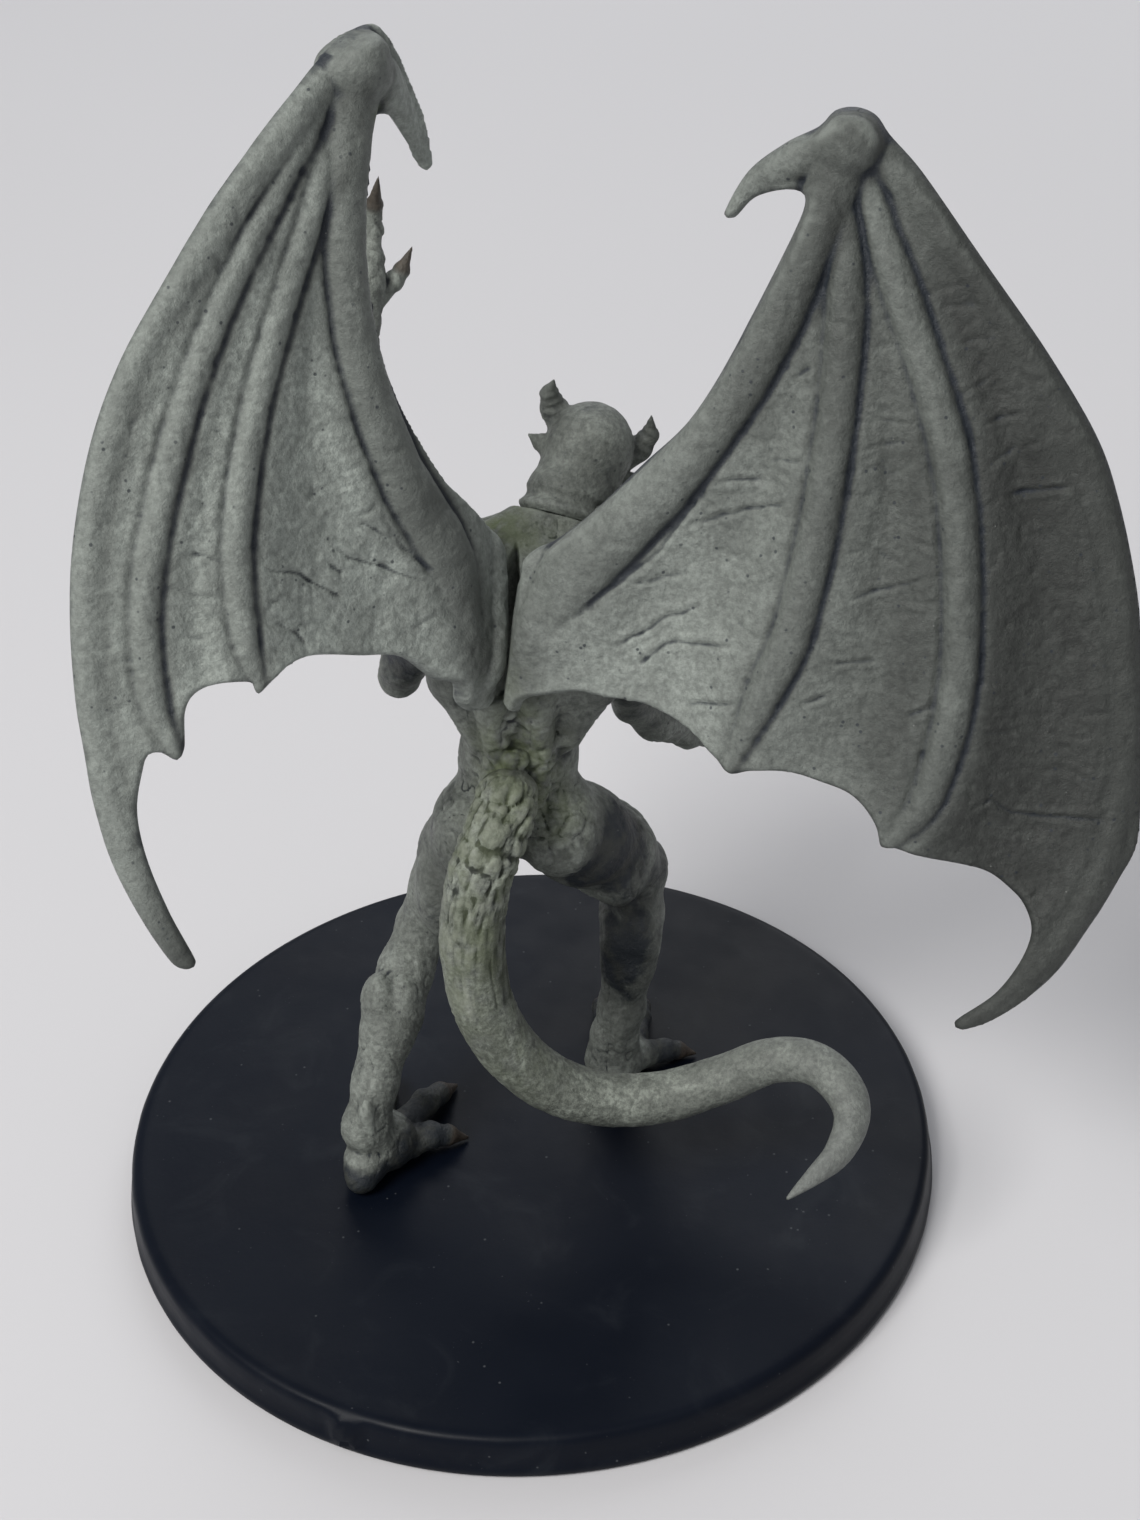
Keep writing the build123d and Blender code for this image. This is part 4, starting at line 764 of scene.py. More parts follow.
WING = {
    "right": dict(
        outline=[(-0.4, 35.7), (-1.1, 36.7), (-2.4, 37.4), (-3.9, 37.9), (-5.1, 37.9), (-6.9, 38.0), (-8.6, 37.5), (-9.9, 36.7),
                 (-10.5, 36.2), (-11.1, 35.6), (-12.3, 36.0), (-13.9, 36.1), (-15.4, 35.8), (-17.0, 35.3), (-18.1, 34.2), (-18.4, 33.0),
                 (-19.0, 33.0), (-21.0, 32.5), (-23.5, 31.9), (-24.8, 31.0), (-25.5, 30.2), (-25.8, 29.0), (-25.3, 27.5), (-24.0, 25.7),
                 (-22.0, 24.1), (-22.4, 23.7), (-24.3, 24.5), (-26.8, 26.5), (-28.8, 29.2), (-30.1, 31.3), (-31.1, 33.2), (-31.3, 36.3),
                 (-31.2, 40.2), (-30.9, 44.1), (-30.4, 47.0), (-29.6, 50.1), (-28.5, 52.9), (-26.2, 56.6), (-23.2, 60.7), (-20.4, 64.5),
                 (-19.0, 66.0), (-18.4, 66.8), (-17.5, 67.1), (-16.6, 66.9), (-15.9, 66.2), (-14.4, 65.4), (-12.6, 64.0), (-11.4, 62.0), (-11.9, 61.9), (-12.9, 62.9), (-14.4, 63.4), (-15.2, 63.2),
                 (-15.0, 62.2), (-13.4, 59.0), (-11.5, 55.4), (-9.7, 52.5),
                 (-7.5, 50.1), (-5.1, 47.4), (-3.2, 45.5), (-1.8, 44.4), (-1.0, 42.6), (-0.4, 40.9), (0.0, 38.4), (0.1, 36.6)],
        bones={
            "outer": [(-17.5, 66.0, 1.15), (-20.2, 63.6, 1.05), (-25.3, 56.5, 0.95), (-28.7, 50.2, 0.9), (-30.1, 43.0, 0.85),
                      (-30.3, 36.6, 0.85), (-29.2, 31.8, 0.85), (-26.4, 27.4, 0.7), (-22.4, 24.1, 0.25)],
            "middle": [(-17.9, 64.2, 0.7), (-18.7, 61.5, 0.85), (-19.7, 58.7, 0.95), (-21.7, 52.2, 1.0), (-22.3, 45.3, 1.0),
                       (-21.9, 40.0, 0.98), (-20.6, 35.6, 0.85), (-18.8, 33.2, 0.3)],
            "inner": [(-16.9, 64.0, 0.7), (-17.0, 60.2, 0.95), (-16.9, 56.9, 1.0), (-16.0, 50.1, 1.02), (-14.4, 43.4, 1.05),
                      (-12.9, 39.9, 0.95), (-11.1, 35.8, 0.35)],
            "arm": [(-17.2, 65.8, 1.5), (-15.6, 61.4, 1.3), (-12.6, 55.2, 1.3), (-8.6, 49.4, 1.5), (-4.9, 45.2, 1.85), (-3.0, 42.4, 1.55), (-1.9, 40.3, 1.05), (-1.3, 38.2, 0.6)],
            "claw": [(-17.2, 65.8, 1.6), (-15.6, 65.2, 1.3), (-14.2, 64.5, 1.0), (-12.9, 63.6, 0.72), (-12.1, 62.8, 0.45), (-11.6, 62.0, 0.12)]},
        creases=[[(-6.4, 44.0), (-9.4, 45.2)], [(-5.5, 40.4), (-7.6, 42.2), (-10.5, 44.0)], [(-6.1, 39.7), (-8.6, 41.5), (-12.2, 42.0)],
                 [(-8.8, 38.6), (-11.9, 39.4)], [(-9.1, 47.3), (-11.9, 48.6), (-14.6, 49.5)], [(-10.8, 49.8), (-12.9, 50.4)],
                 [(-13.3, 51.1), (-15.0, 51.3)], [(-14.7, 55.2), (-15.5, 55.8)], [(-24.0, 50.1), (-27.7, 50.7)],
                 [(-16.6, 44.8), (-20.8, 46.5)], [(-15.9, 41.9), (-18.4, 42.1)], [(-14.7, 39.8), (-16.1, 40.3)],
                 [(-19.6, 39.6), (-20.9, 40.3)], [(-22.6, 34.9), (-23.7, 35.6), (-24.7, 34.9), (-28.3, 34.6), (-30.0, 34.2)],
                 [(-2.9, 41.3), (-6.4, 44.2), (-8.4, 46.6), (-10.8, 50.0)], [(-0.8, 37.8), (-2.2, 40.1), (-2.6, 39.4)]]),
    "left": dict(
        outline=[(1.5, 36.1), (2.3, 37.1), (2.6, 38.3), (3.5, 39.1), (4.0, 39.8), (5.0, 41.1), (6.7, 42.0), (9.1, 43.1), (10.5, 43.2),
                 (11.3, 42.8), (12.0, 42.4), (12.2, 43.0), (12.6, 43.2), (13.6, 43.4), (14.9, 43.2), (15.4, 42.5), (15.6, 40.8),
                 (16.0, 40.3), (16.7, 40.8), (17.3, 40.8), (17.6, 40.2), (18.1, 38.2), (17.9, 35.8), (17.1, 32.9), (16.1, 30.2),
                 (16.5, 29.9), (17.2, 30.3), (18.4, 32.6), (19.5, 35.5), (20.1, 38.4), (20.3, 41.3), (20.4, 43.9), (20.2, 47.7),
                 (19.6, 51.3), (18.4, 55.2), (16.9, 58.3), (15.1, 60.9), (12.6, 64.0), (10.5, 66.2), (8.4, 68.1), (6.0, 69.9), (4.4, 70.1),
                 (3.6, 69.0), (2.9, 67.6), (2.2, 65.9), (1.8, 64.2), (1.7, 62.8), (2.1, 62.9), (2.8, 64.4), (3.7, 65.8), (4.5, 66.2), (4.9, 65.6),
                 (5.0, 64.0), (5.4, 61.4), (5.3, 58.1), (5.0, 55.6), (4.2, 52.6), (2.7, 48.8), (1.5, 46.9), (-0.1, 44.4), (-0.8, 42.8),
                 (-0.3, 40.6), (0.3, 38.2), (0.6, 36.0)],
        bones={
            "outer": [(5.4, 68.9, 1.1), (7.9, 67.4, 1.0), (12.0, 63.4, 0.9), (16.2, 58.1, 0.85), (18.8, 51.3, 0.85), (19.6, 44.2, 0.82),
                      (19.2, 38.8, 0.8), (17.9, 33.0, 0.65), (16.4, 30.1, 0.22)],
            "middle": [(6.4, 67.9, 0.6), (9.0, 64.7, 0.75), (12.3, 59.8, 0.85), (14.9, 54.1, 0.9), (16.6, 48.3, 0.95), (16.8, 43.4, 0.85), (15.9, 40.5, 0.3)],
            "inner": [(6.0, 67.6, 0.6), (7.5, 63.7, 0.85), (10.4, 57.0, 0.92), (12.2, 50.6, 0.95), (12.4, 45.6, 0.85), (11.9, 42.6, 0.3)],
            "arm": [(5.4, 68.6, 1.5), (6.3, 63.2, 1.2), (6.3, 57.0, 1.25), (4.9, 50.6, 1.4), (3.0, 45.6, 1.55), (2.3, 42.2, 1.25), (2.0, 39.6, 0.7)],
            "spine": [(-0.2, 44.1, 0.7), (0.0, 42.4, 0.9), (0.45, 40.2, 1.0), (0.9, 38.2, 1.0), (1.4, 36.6, 0.6)],
            "claw": [(5.2, 68.4, 1.6), (4.1, 67.4, 1.25), (3.3, 66.2, 0.95), (2.7, 65.0, 0.7), (2.2, 63.9, 0.4), (1.9, 62.9, 0.12)]},
        creases=[[(8.0, 47.8), (5.8, 46.0), (3.8, 44.2)], [(6.8, 48.6), (4.9, 46.9)], [(8.1, 47.2), (7.4, 46.4)],
                 [(11.3, 48.1), (9.1, 46.9), (7.0, 44.4)], [(11.5, 45.8), (9.9, 44.6), (9.4, 43.6)], [(14.2, 49.6), (13.2, 49.1)],
                 [(2.0, 38.7), (1.8, 40.7), (3.3, 44.1), (4.8, 46.5), (6.2, 49.4)], [(5.9, 58.1), (6.9, 57.4)]])}


def box_blur(a, r):
    r = max(1, int(r))
    for ax in (0, 1):
        pad = [(0, 0), (0, 0)]
        pad[ax] = (r + 1, r)
        c = np.cumsum(np.pad(a, pad, mode="edge"), axis=ax)
        n = a.shape[ax]
        hi = np.take(c, np.arange(2 * r + 1, 2 * r + 1 + n), axis=ax)
        lo = np.take(c, np.arange(0, n), axis=ax)
        a = (hi - lo) / (2 * r + 1)
    return a


def build_wing(side):
    data = WING[side]
    sh = Sheet(side)
    h = 0.125
    o = np.array(data["outline"])
    op = catmull(sh.sw(o[:, 0], o[:, 1]), 0.25, closed=True)
    P = Plane2(op.min(0) - 0.6, op.max(0) + 0.6, h)
    S, W = np.meshgrid(P.s, P.w, indexing="ij")
    flat = np.stack([S.ravel(), W.ravel(), np.zeros(S.size)], 1)
    seed = 40 if side == "right" else 90
    inside = P.inside(op)
    closed = np.concatenate([op, op[:1]])
    edge, _ = P.line(np.concatenate([closed, np.zeros((len(closed), 1))], 1), 3.5)
    edge = np.minimum(edge, 3.5)
    warp = [0.22 * (fbm(flat, 0.8, seed + 1).reshape(S.shape) - 0.5) * 2, 0.22 * (fbm(flat, 0.8, seed + 2).reshape(S.shape) - 0.5) * 2]
    ridge = np.full(S.shape, -9.0)
    ridge_front = np.full(S.shape, -9.0)
    groove = np.zeros(S.shape)
    shade = np.zeros(S.shape)
    near = np.full(S.shape, 99.0)
    curves = {}
    rootc = sh.sw(*WING_PEG[side])
    rr = np.sqrt((S - rootc[0]) ** 2 + ((W - rootc[1]) * 0.72) ** 2)
    for name, pts in data["bones"].items():
        p = np.array(pts)
        if side == "left" and name in ("middle", "inner"):
            p[:, 2] *= 0.84
        line = catmull(np.concatenate([sh.sw(p[:, 0], p[:, 1]), p[:, 2:3]], 1), 0.4)
        curves[name] = line
        dd, r = P.line(line, 4.0)
        knot = 0.05 * (fbm(flat, 0.45, seed + 3).reshape(S.shape) - 0.5) * 2
        r = r * (1 + knot)
        body = np.sqrt(np.clip(r * r - dd * dd, 0, None)) - 0.12
        body = np.where(dd < r, body, -(dd - r) * 1.6 - 0.12)
        if name == "outer":
            body = np.where(body > 0, body * 0.72, body)
        if name == "arm":
            body = np.where(body > 0, body * (1 - 0.45 * np.exp(-(rr / 4.2) ** 2)), body)
        kk = (0.42 if name == "outer" else 0.2 if name == "spine" else 0.18 + 1.1 * np.exp(-(rr / 4.0) ** 2))
        ridge = smax(ridge, body, kk)
        ridge_front = smax(ridge_front, body * 0.85, 0.2)
        if name not in ("claw", "spine"):
            near = np.minimum(near, np.clip(dd - r, 0, None))
            g = np.exp(-((dd - r * 1.0 - 0.05) / 0.16) ** 2)
            # painted shade: the -X flank of each bone and the membrane beside it darkened, as if lit from +X, fading
            # out at the root
            slope = np.gradient(dd, axis=0) / h * (-1 if side == "left" else 1)
            shade = np.maximum(shade, np.clip(0.35 + 0.9 * slope, 0, 1) * np.exp(-((dd - r) / 0.36) ** 2) * (1 - np.exp(-(rr / 4.5) ** 2))
                               * (0.6 + 0.55 * vnoise(flat, 0.8, seed + 7).reshape(S.shape)) * (0.5 if name == "outer" else 1.0))
            g = g * (0.3 if name == "outer" else 1.0) * (1 - np.exp(-(rr / 4.5) ** 2))
            groove = np.maximum(groove, g * (0.55 + 0.6 * vnoise(flat, 0.55, seed + 6).reshape(S.shape)))
    thick = 0.36
    cup = -0.75 * (1 - np.exp(-(near / 1.9) ** 2)) + 0.25 * np.exp(-edge / 0.5) * (near > 0.6)
    cup = box_blur(cup, 0.35 / h)
    wave = 0.16 * (fbm(flat, 0.28, seed + 4).reshape(S.shape) - 0.5) * 2
    # folds: the drawn ones and finer random ones running in from the bones
    crease = np.zeros(S.shape)
    lip = np.zeros(S.shape)
    lines = []
    for c in data["creases"]:
        c = np.array(c)
        lines.append((catmull(np.concatenate([sh.sw(c[:, 0], c[:, 1]), np.linspace(0, 1, len(c))[:, None]], 1), 0.5), 1.0))
    for name in ("outer", "middle", "inner", "arm"):
        line = curves[name]
        for k in range(15 if side == "right" else 12):
            i = int(rng.integers(int(len(line) * 0.12), int(len(line) * 0.93)))
            tang = line[min(i + 1, len(line) - 1), :2] - line[max(i - 1, 0), :2]
            tang /= np.linalg.norm(tang) + 1e-9
            nrm = np.array([-tang[1], tang[0]]) * (1 if rng.random() < 0.5 else -1)
            r0 = line[i, 2]
            L = rng.uniform(0.9, 3.4)
            skew = rng.uniform(-0.35, 0.35)
            a = line[i, :2] + nrm * (r0 + rng.uniform(0.0, 0.8))
            m = a + (nrm + tang * skew) * L * 0.5 + tang * rng.uniform(-0.25, 0.25)
            b = a + (nrm + tang * skew) * L
            lines.append((np.concatenate([catmull(np.array([a, m, b]), 0.4), np.zeros((1, 2))])[:-1], rng.uniform(0.3, 0.7)))
    for pts, power in lines:
        if pts.shape[1] == 2:
            pts = np.concatenate([pts, np.linspace(0, 1, len(pts))[:, None]], 1)
        dd, t = P.line(pts, 0.9, warp)
        ends = np.clip(np.sin(np.pi * np.clip(t, 0.03, 0.97)) * 1.6, 0, 1)
        width = 0.115 if power == 1.0 else 0.095
        crease = np.maximum(crease, power * ends * np.exp(-(dd / width) ** 2))
        lip = np.maximum(lip, power * ends * np.exp(-((dd - 0.30) / 0.17) ** 2))
    net = 1 - np.abs(2 * fbm(flat * np.array([1, 0.75, 1]), 0.75, seed + 9, 2).reshape(S.shape) - 1)
    net = np.clip((net - 0.9) / 0.1, 0, 1) * np.clip(vnoise(flat, 0.22, seed + 12).reshape(S.shape) * 2.2 - 0.7, 0, 1)
    skin = np.clip(near / 0.4, 0, 1)
    relief = (-0.13 * crease + 0.055 * lip - 0.07 * net) * (0.25 + 0.75 * skin) + 0.075 * (fbm(flat, 1.5, seed + 15, 3).reshape(S.shape) - 0.5)
    grainy = 0.055 * (vnoise(flat, 2.9, seed + 16).reshape(S.shape) - 0.5)
    grainy = grainy - 0.10 * np.clip((vnoise(flat, 1.7, seed + 17).reshape(S.shape) - 0.80) / 0.2, 0, 1)
    grainy = grainy + 0.08 * (fbm(flat, 0.6, seed + 18, 3).reshape(S.shape) - 0.5)
    mem = thick + relief
    back = smax(mem - 0.14 * groove, ridge, 0.07)
    front = smax(thick + 0.6 * relief - 0.08 * groove, ridge_front, 0.14)
    back = back + grainy
    # root: a thick plate where the wing meets the back
    lobe = (0.95 if side == "right" else 0.75) * np.clip(1 - rr / 5.4, 0, 1) ** 0.8
    back = back + lobe * (0.8 + 0.5 * (fbm(flat, 0.5, seed + 20).reshape(S.shape)))
    # wrist knuckle
    wr = sh.sw(*data["bones"]["arm"][0][:2])
    kn = np.sqrt((S - wr[0]) ** 2 + (W - wr[1]) ** 2)
    bump = np.sqrt(np.clip(1.75 ** 2 - kn ** 2, 0, None)) + 0.22 + 0.25 * (fbm(flat, 1.1, seed + 25, 3).reshape(S.shape) - 0.5)
    back = smax(back, np.where(kn < 1.75, bump, -3), 0.4)
    front = smax(front, np.where(kn < 1.75, bump * 0.9, -3), 0.5)
    front = np.where((rr < 5.2), np.minimum(front, 0.9 + 0.05), front)
    prof = np.sqrt(np.clip(1 - (1 - np.clip(edge / 0.55, 0, 1)) ** 2, 0, 1))
    prof_t = np.sqrt(np.clip(1 - (1 - np.clip(edge / 0.3, 0, 1)) ** 2, 0, 1))
    pr = np.where(ridge > 0.1, prof, prof_t)
    pr = box_blur(pr, 1)
    offb = cup + wave + back * pr
    offf = cup + wave - front * pr
    base = cup + wave
    # mesh: snap the rim of the grid on to the outline
    keep = inside.copy()
    nb = np.zeros_like(keep)
    nb[1:-1, 1:-1] = keep[:-2, 1:-1] | keep[2:, 1:-1] | keep[1:-1, :-2] | keep[1:-1, 2:] | keep[:-2, :-2] | keep[2:, 2:] | keep[:-2, 2:] | keep[2:, :-2]
    use = keep | (nb & (edge < 0.62 * h))
    cell = use[:-1, :-1] & use[1:, :-1] & use[1:, 1:] & use[:-1, 1:]
    used = np.zeros_like(use)
    for a in (0, 1):
        for b in (0, 1):
            used[a:used.shape[0] - 1 + a, b:used.shape[1] - 1 + b] |= cell
    ids = np.full(use.shape, -1, np.int64)
    ids[used] = np.arange(used.sum())
    full = np.zeros_like(use)
    full[1:-1, 1:-1] = cell[:-1, :-1] & cell[1:, :-1] & cell[1:, 1:] & cell[:-1, 1:]
    rim = used & ~full
    sv, wv = S[used].copy(), W[used].copy()
    rimv = rim[used]
    snapped = nearest_on(op, np.stack([sv[rimv], wv[rimv]], 1))
    sv[rimv], wv[rimv] = snapped[:, 0], snapped[:, 1]
    ob_, of_, bs_ = offb[used], offf[used], base[used]
    ob_[rimv] = bs_[rimv]
    of_[rimv] = bs_[rimv]
    vb = sh.xyz(sv, wv, ob_)
    vf = sh.xyz(sv, wv, of_)
    for vv in (vb, vf):
        xb = -1.0 + (43.0 - vv[:, 2]) * 0.18
        close = (vv[:, 2] < 47) & (vv[:, 2] > 34.5) & (np.abs(vv[:, 0] - xb) < 3.0)
        lim = np.maximum(vv[:, 0], xb + 0.07) if side == "left" else np.minimum(vv[:, 0], xb - 0.07)
        vv[:, 0] = np.where(close, lim, vv[:, 0])
    n = len(sv)
    fid = np.arange(n, 2 * n)
    fid[rimv] = np.arange(n)[rimv]
    ci = np.argwhere(cell)
    q = np.stack([ids[ci[:, 0], ci[:, 1]], ids[ci[:, 0] + 1, ci[:, 1]], ids[ci[:, 0] + 1, ci[:, 1] + 1], ids[ci[:, 0], ci[:, 1] + 1]], 1)
    if side == "right":
        qb, qf = q, fid[q][:, ::-1]
    else:
        qb, qf = q[:, ::-1], fid[q]
    verts = np.concatenate([vb, vf])
    faces = np.concatenate([qb, qf])
    # plug
    px, pz = WING_PEG[side]
    ys = wing_y(side, px, pz)[0] - 0.9
    rings = [(ys + 1.0, 0.99), (ys, 0.99), (ys - 2.8, 0.99), (ys - 3.0, 0.8)]
    m = 40
    ang = np.linspace(0, 2 * np.pi, m, endpoint=False)
    base_i = len(verts)
    pv = [np.stack([px + r * np.cos(ang), np.full(m, y), pz + r * np.sin(ang)], 1) for y, r in rings]
    pv.append(np.array([[px, rings[0][0], pz], [px, rings[-1][0], pz]]))
    verts = np.concatenate([verts] + pv)
    pf = []
    for i in range(len(rings) - 1):
        for j in range(m):
            a, b = base_i + i * m + j, base_i + i * m + (j + 1) % m
            pf.append((a, b, b + m, a + m))
    c0, c1 = base_i + len(rings) * m, base_i + len(rings) * m + 1
    last = base_i + (len(rings) - 1) * m
    for j in range(m):
        pf.append((base_i + (j + 1) % m, base_i + j, c0, c0))
        pf.append((last + j, last + (j + 1) % m, c1, c1))
    allf = np.concatenate([faces, np.array(pf)])
    usedv = np.unique(allf)
    remap = np.full(len(verts), -1)
    remap[usedv] = np.arange(len(usedv))
    verts, allf = verts[usedv], remap[allf]
    # paint masks from the height map
    hgt = offb
    c_fine = box_blur((box_blur(hgt, 0.26 / h) - hgt) * 6, 1)
    c_broad = box_blur((box_blur(hgt, 0.8 / h) - hgt) * 1.5, 1)
    # wash in the grooves beside the bones, plus the painted shade on the bones' -X flanks; both feed the broad wash
    # mask
    groove_wash_and_bone_shade = box_blur(groove * 0.22 * (ridge < mem + 0.05), 1) + 0.62 * box_blur(shade, 1)
    fine = np.concatenate([(c_fine + 0.34 * crease)[used], (c_fine * 0.5 + 0.2 * crease)[used], np.zeros(m * len(rings) + 2)])[usedv]
    broad = np.concatenate([(c_broad + groove_wash_and_bone_shade)[used], (c_broad * 0.6 + groove_wash_and_bone_shade * 0.8)[used], np.zeros(m * len(rings) + 2)])[usedv]
    tone_map = 1.15 * np.exp(-(near / 0.8) ** 2) if side == "left" else 0.5 * np.exp(-(near / 0.8) ** 2)
    tone = np.concatenate([tone_map[used]] * 2 + [np.zeros(m * len(rings) + 2)])[usedv]
    lift = [np.concatenate([np.exp(-(np.clip(P.line(curves[b], 4.0)[0] - 0.4, 0, None) / 0.75) ** 2)[used]] * 2 + [np.zeros(m * len(rings) + 2)])[usedv]
            for b in ("middle", "inner")]
    ad, ar = P.line(curves["arm"], 4.0)
    armed = np.exp(-(np.clip(ad - 0.5 * ar, 0, None) / 0.9) ** 2)
    armed = np.concatenate([armed[used]] * 2 + [np.zeros(m * len(rings) + 2)])[usedv]
    fine = np.clip(fine, -1.5, 1.5)
    moss = 0.3 * gauss(verts, (-0.3, 2.6, 37.5), (1.6, 2.0, 2.0))
    if side == "left":
        moss = moss + 1.2 * gauss(verts, (4.5, verts[np.argmin(np.abs(verts[:, 0] - 4.5) + np.abs(verts[:, 2] - 66.7)), 1], 66.7), (0.22, 3.0, 0.3))
    faces_list = [tuple(dict.fromkeys(x)) for x in allf.tolist()]
    me = bpy.data.meshes.new(side + "_wing")
    me.from_pydata((verts * MM).tolist(), [], faces_list)
    me.update()
    me.polygons.foreach_set("use_smooth", [True] * len(me.polygons))
    # Painted light and shade on the wings: the right wing painted darker towards its outer edge, lighter along its
    # middle bone and darker along its inner one; the left wing painted lighter overall; painted shade on the roots
    # where the wings meet the back; also darker along the arm bones, at the left wrist and at the lower tips.
    if side == "right":
        outward_shade_ramp = np.clip((-verts[:, 0] - 13.0) / 11.0, -0.4, 1.2)
        grime_and_painted_shading = 0.10 + 1.5 * np.sign(outward_shade_ramp) * np.abs(outward_shade_ramp) ** 1.25 + 0.30 * armed - 0.48 * lift[0] + 0.34 * lift[1] + 0.25 * armed
        grime_and_painted_shading = 0.24 + 0.787 * grime_and_painted_shading
    else:
        grime_and_painted_shading = 0.35 * gauss(verts, (1.5, 2.5, 44.0), (4.0, 9.0, 9.0)) - 0.5 + 0.85 * armed - 0.3 * gauss(verts, (10.0, 3.0, 48.0), (4.0, 20.0, 9.0))
        grime_and_painted_shading = grime_and_painted_shading + 0.9 * gauss(verts, (5.9, 3.5, 67.2), (1.5, 3.0, 1.2))
    grime_and_painted_shading = grime_and_painted_shading + 0.5 * gauss(verts, (0.4, 2.5, 39.0), (2.2, 3.0, 3.6))
    tip = (16.4, 30.5) if side == "left" else (-22.5, 24.2)
    grime_and_painted_shading = grime_and_painted_shading + (1.7 if side == "left" else 0.9) * np.exp(-((verts[:, 0] - tip[0]) / 2.2) ** 2 - ((verts[:, 2] - tip[1]) / 4.2) ** 2)
    for key, val in dict(cav=fine, broad=broad, claw=np.zeros(len(verts)), moss=moss, tone=tone, grime_and_painted_shading=grime_and_painted_shading).items():
        a = me.attributes.new(key, "FLOAT", "POINT")
        a.data.foreach_set("value", np.asarray(val, np.float32))
    ob = bpy.data.objects.new(side + "_wing", me)
    bpy.context.scene.collection.objects.link(ob)
    return ob


for side in ("right", "left"):
    PIECES[side + "_wing"] = build_wing(side)

# ------------------------------------------------------------------ tail
TAIL = np.array([
    (0.2, 2.4, 29.6, 1.70), (0.45, 3.4, 29.25, 1.72), (1.1, 4.5, 28.1, 1.74), (2.0, 5.2, 26.0, 1.78), (2.6, 5.8, 22.4, 1.82),
    (2.4, 6.2, 18.4, 1.78), (1.1, 6.4, 14.7, 1.73), (-1.2, 6.6, 11.9, 1.68), (-4.2, 6.6, 10.3, 1.6), (-7.6, 6.6, 10.1, 1.52),
    (-11.2, 6.7, 11.3, 1.42), (-14.0, 7.0, 12.8, 1.32), (-16.3, 7.9, 13.3, 1.25), (-17.8, 9.5, 12.8, 1.2), (-18.1, 11.2, 12.0, 1.02),
    (-17.1, 13.0, 11.2, 0.8), (-15.5, 14.2, 10.6, 0.5), (-14.0, 15.0, 9.9, 0.1)])


def scales(arc, ang, r, count, pitch, seed, jitter=0.7):
    """Staggered scales round a limb: nearest and second nearest scale centre, mm."""
    u = arc / pitch
    w = ang / (2 * np.pi) * count
    width = 2 * np.pi * r / count
    f1 = np.full(len(arc), 9.0)
    f2 = np.full(len(arc), 9.0)
    row0 = np.floor(u).astype(np.int64)
    for dr in (-1, 0, 1):
        row = row0 + dr
        off = 0.5 * (row % 2)
        col0 = np.floor(w - off).astype(np.int64)
        for dc in (-1, 0, 1):
            col = col0 + dc
            cm = col % count
            cu = row + 0.5 + jitter * (_hash(row, cm, cm * 0, seed) - 0.5)
            cw = col + 0.5 + off + jitter * (_hash(row, cm, cm * 0, seed + 3) - 0.5)
            d = np.sqrt(((u - cu) * pitch) ** 2 + ((w - cw) * width) ** 2)
            f2 = np.minimum(f2, np.maximum(f1, d))
            f1 = np.minimum(f1, d)
    return f1, f2


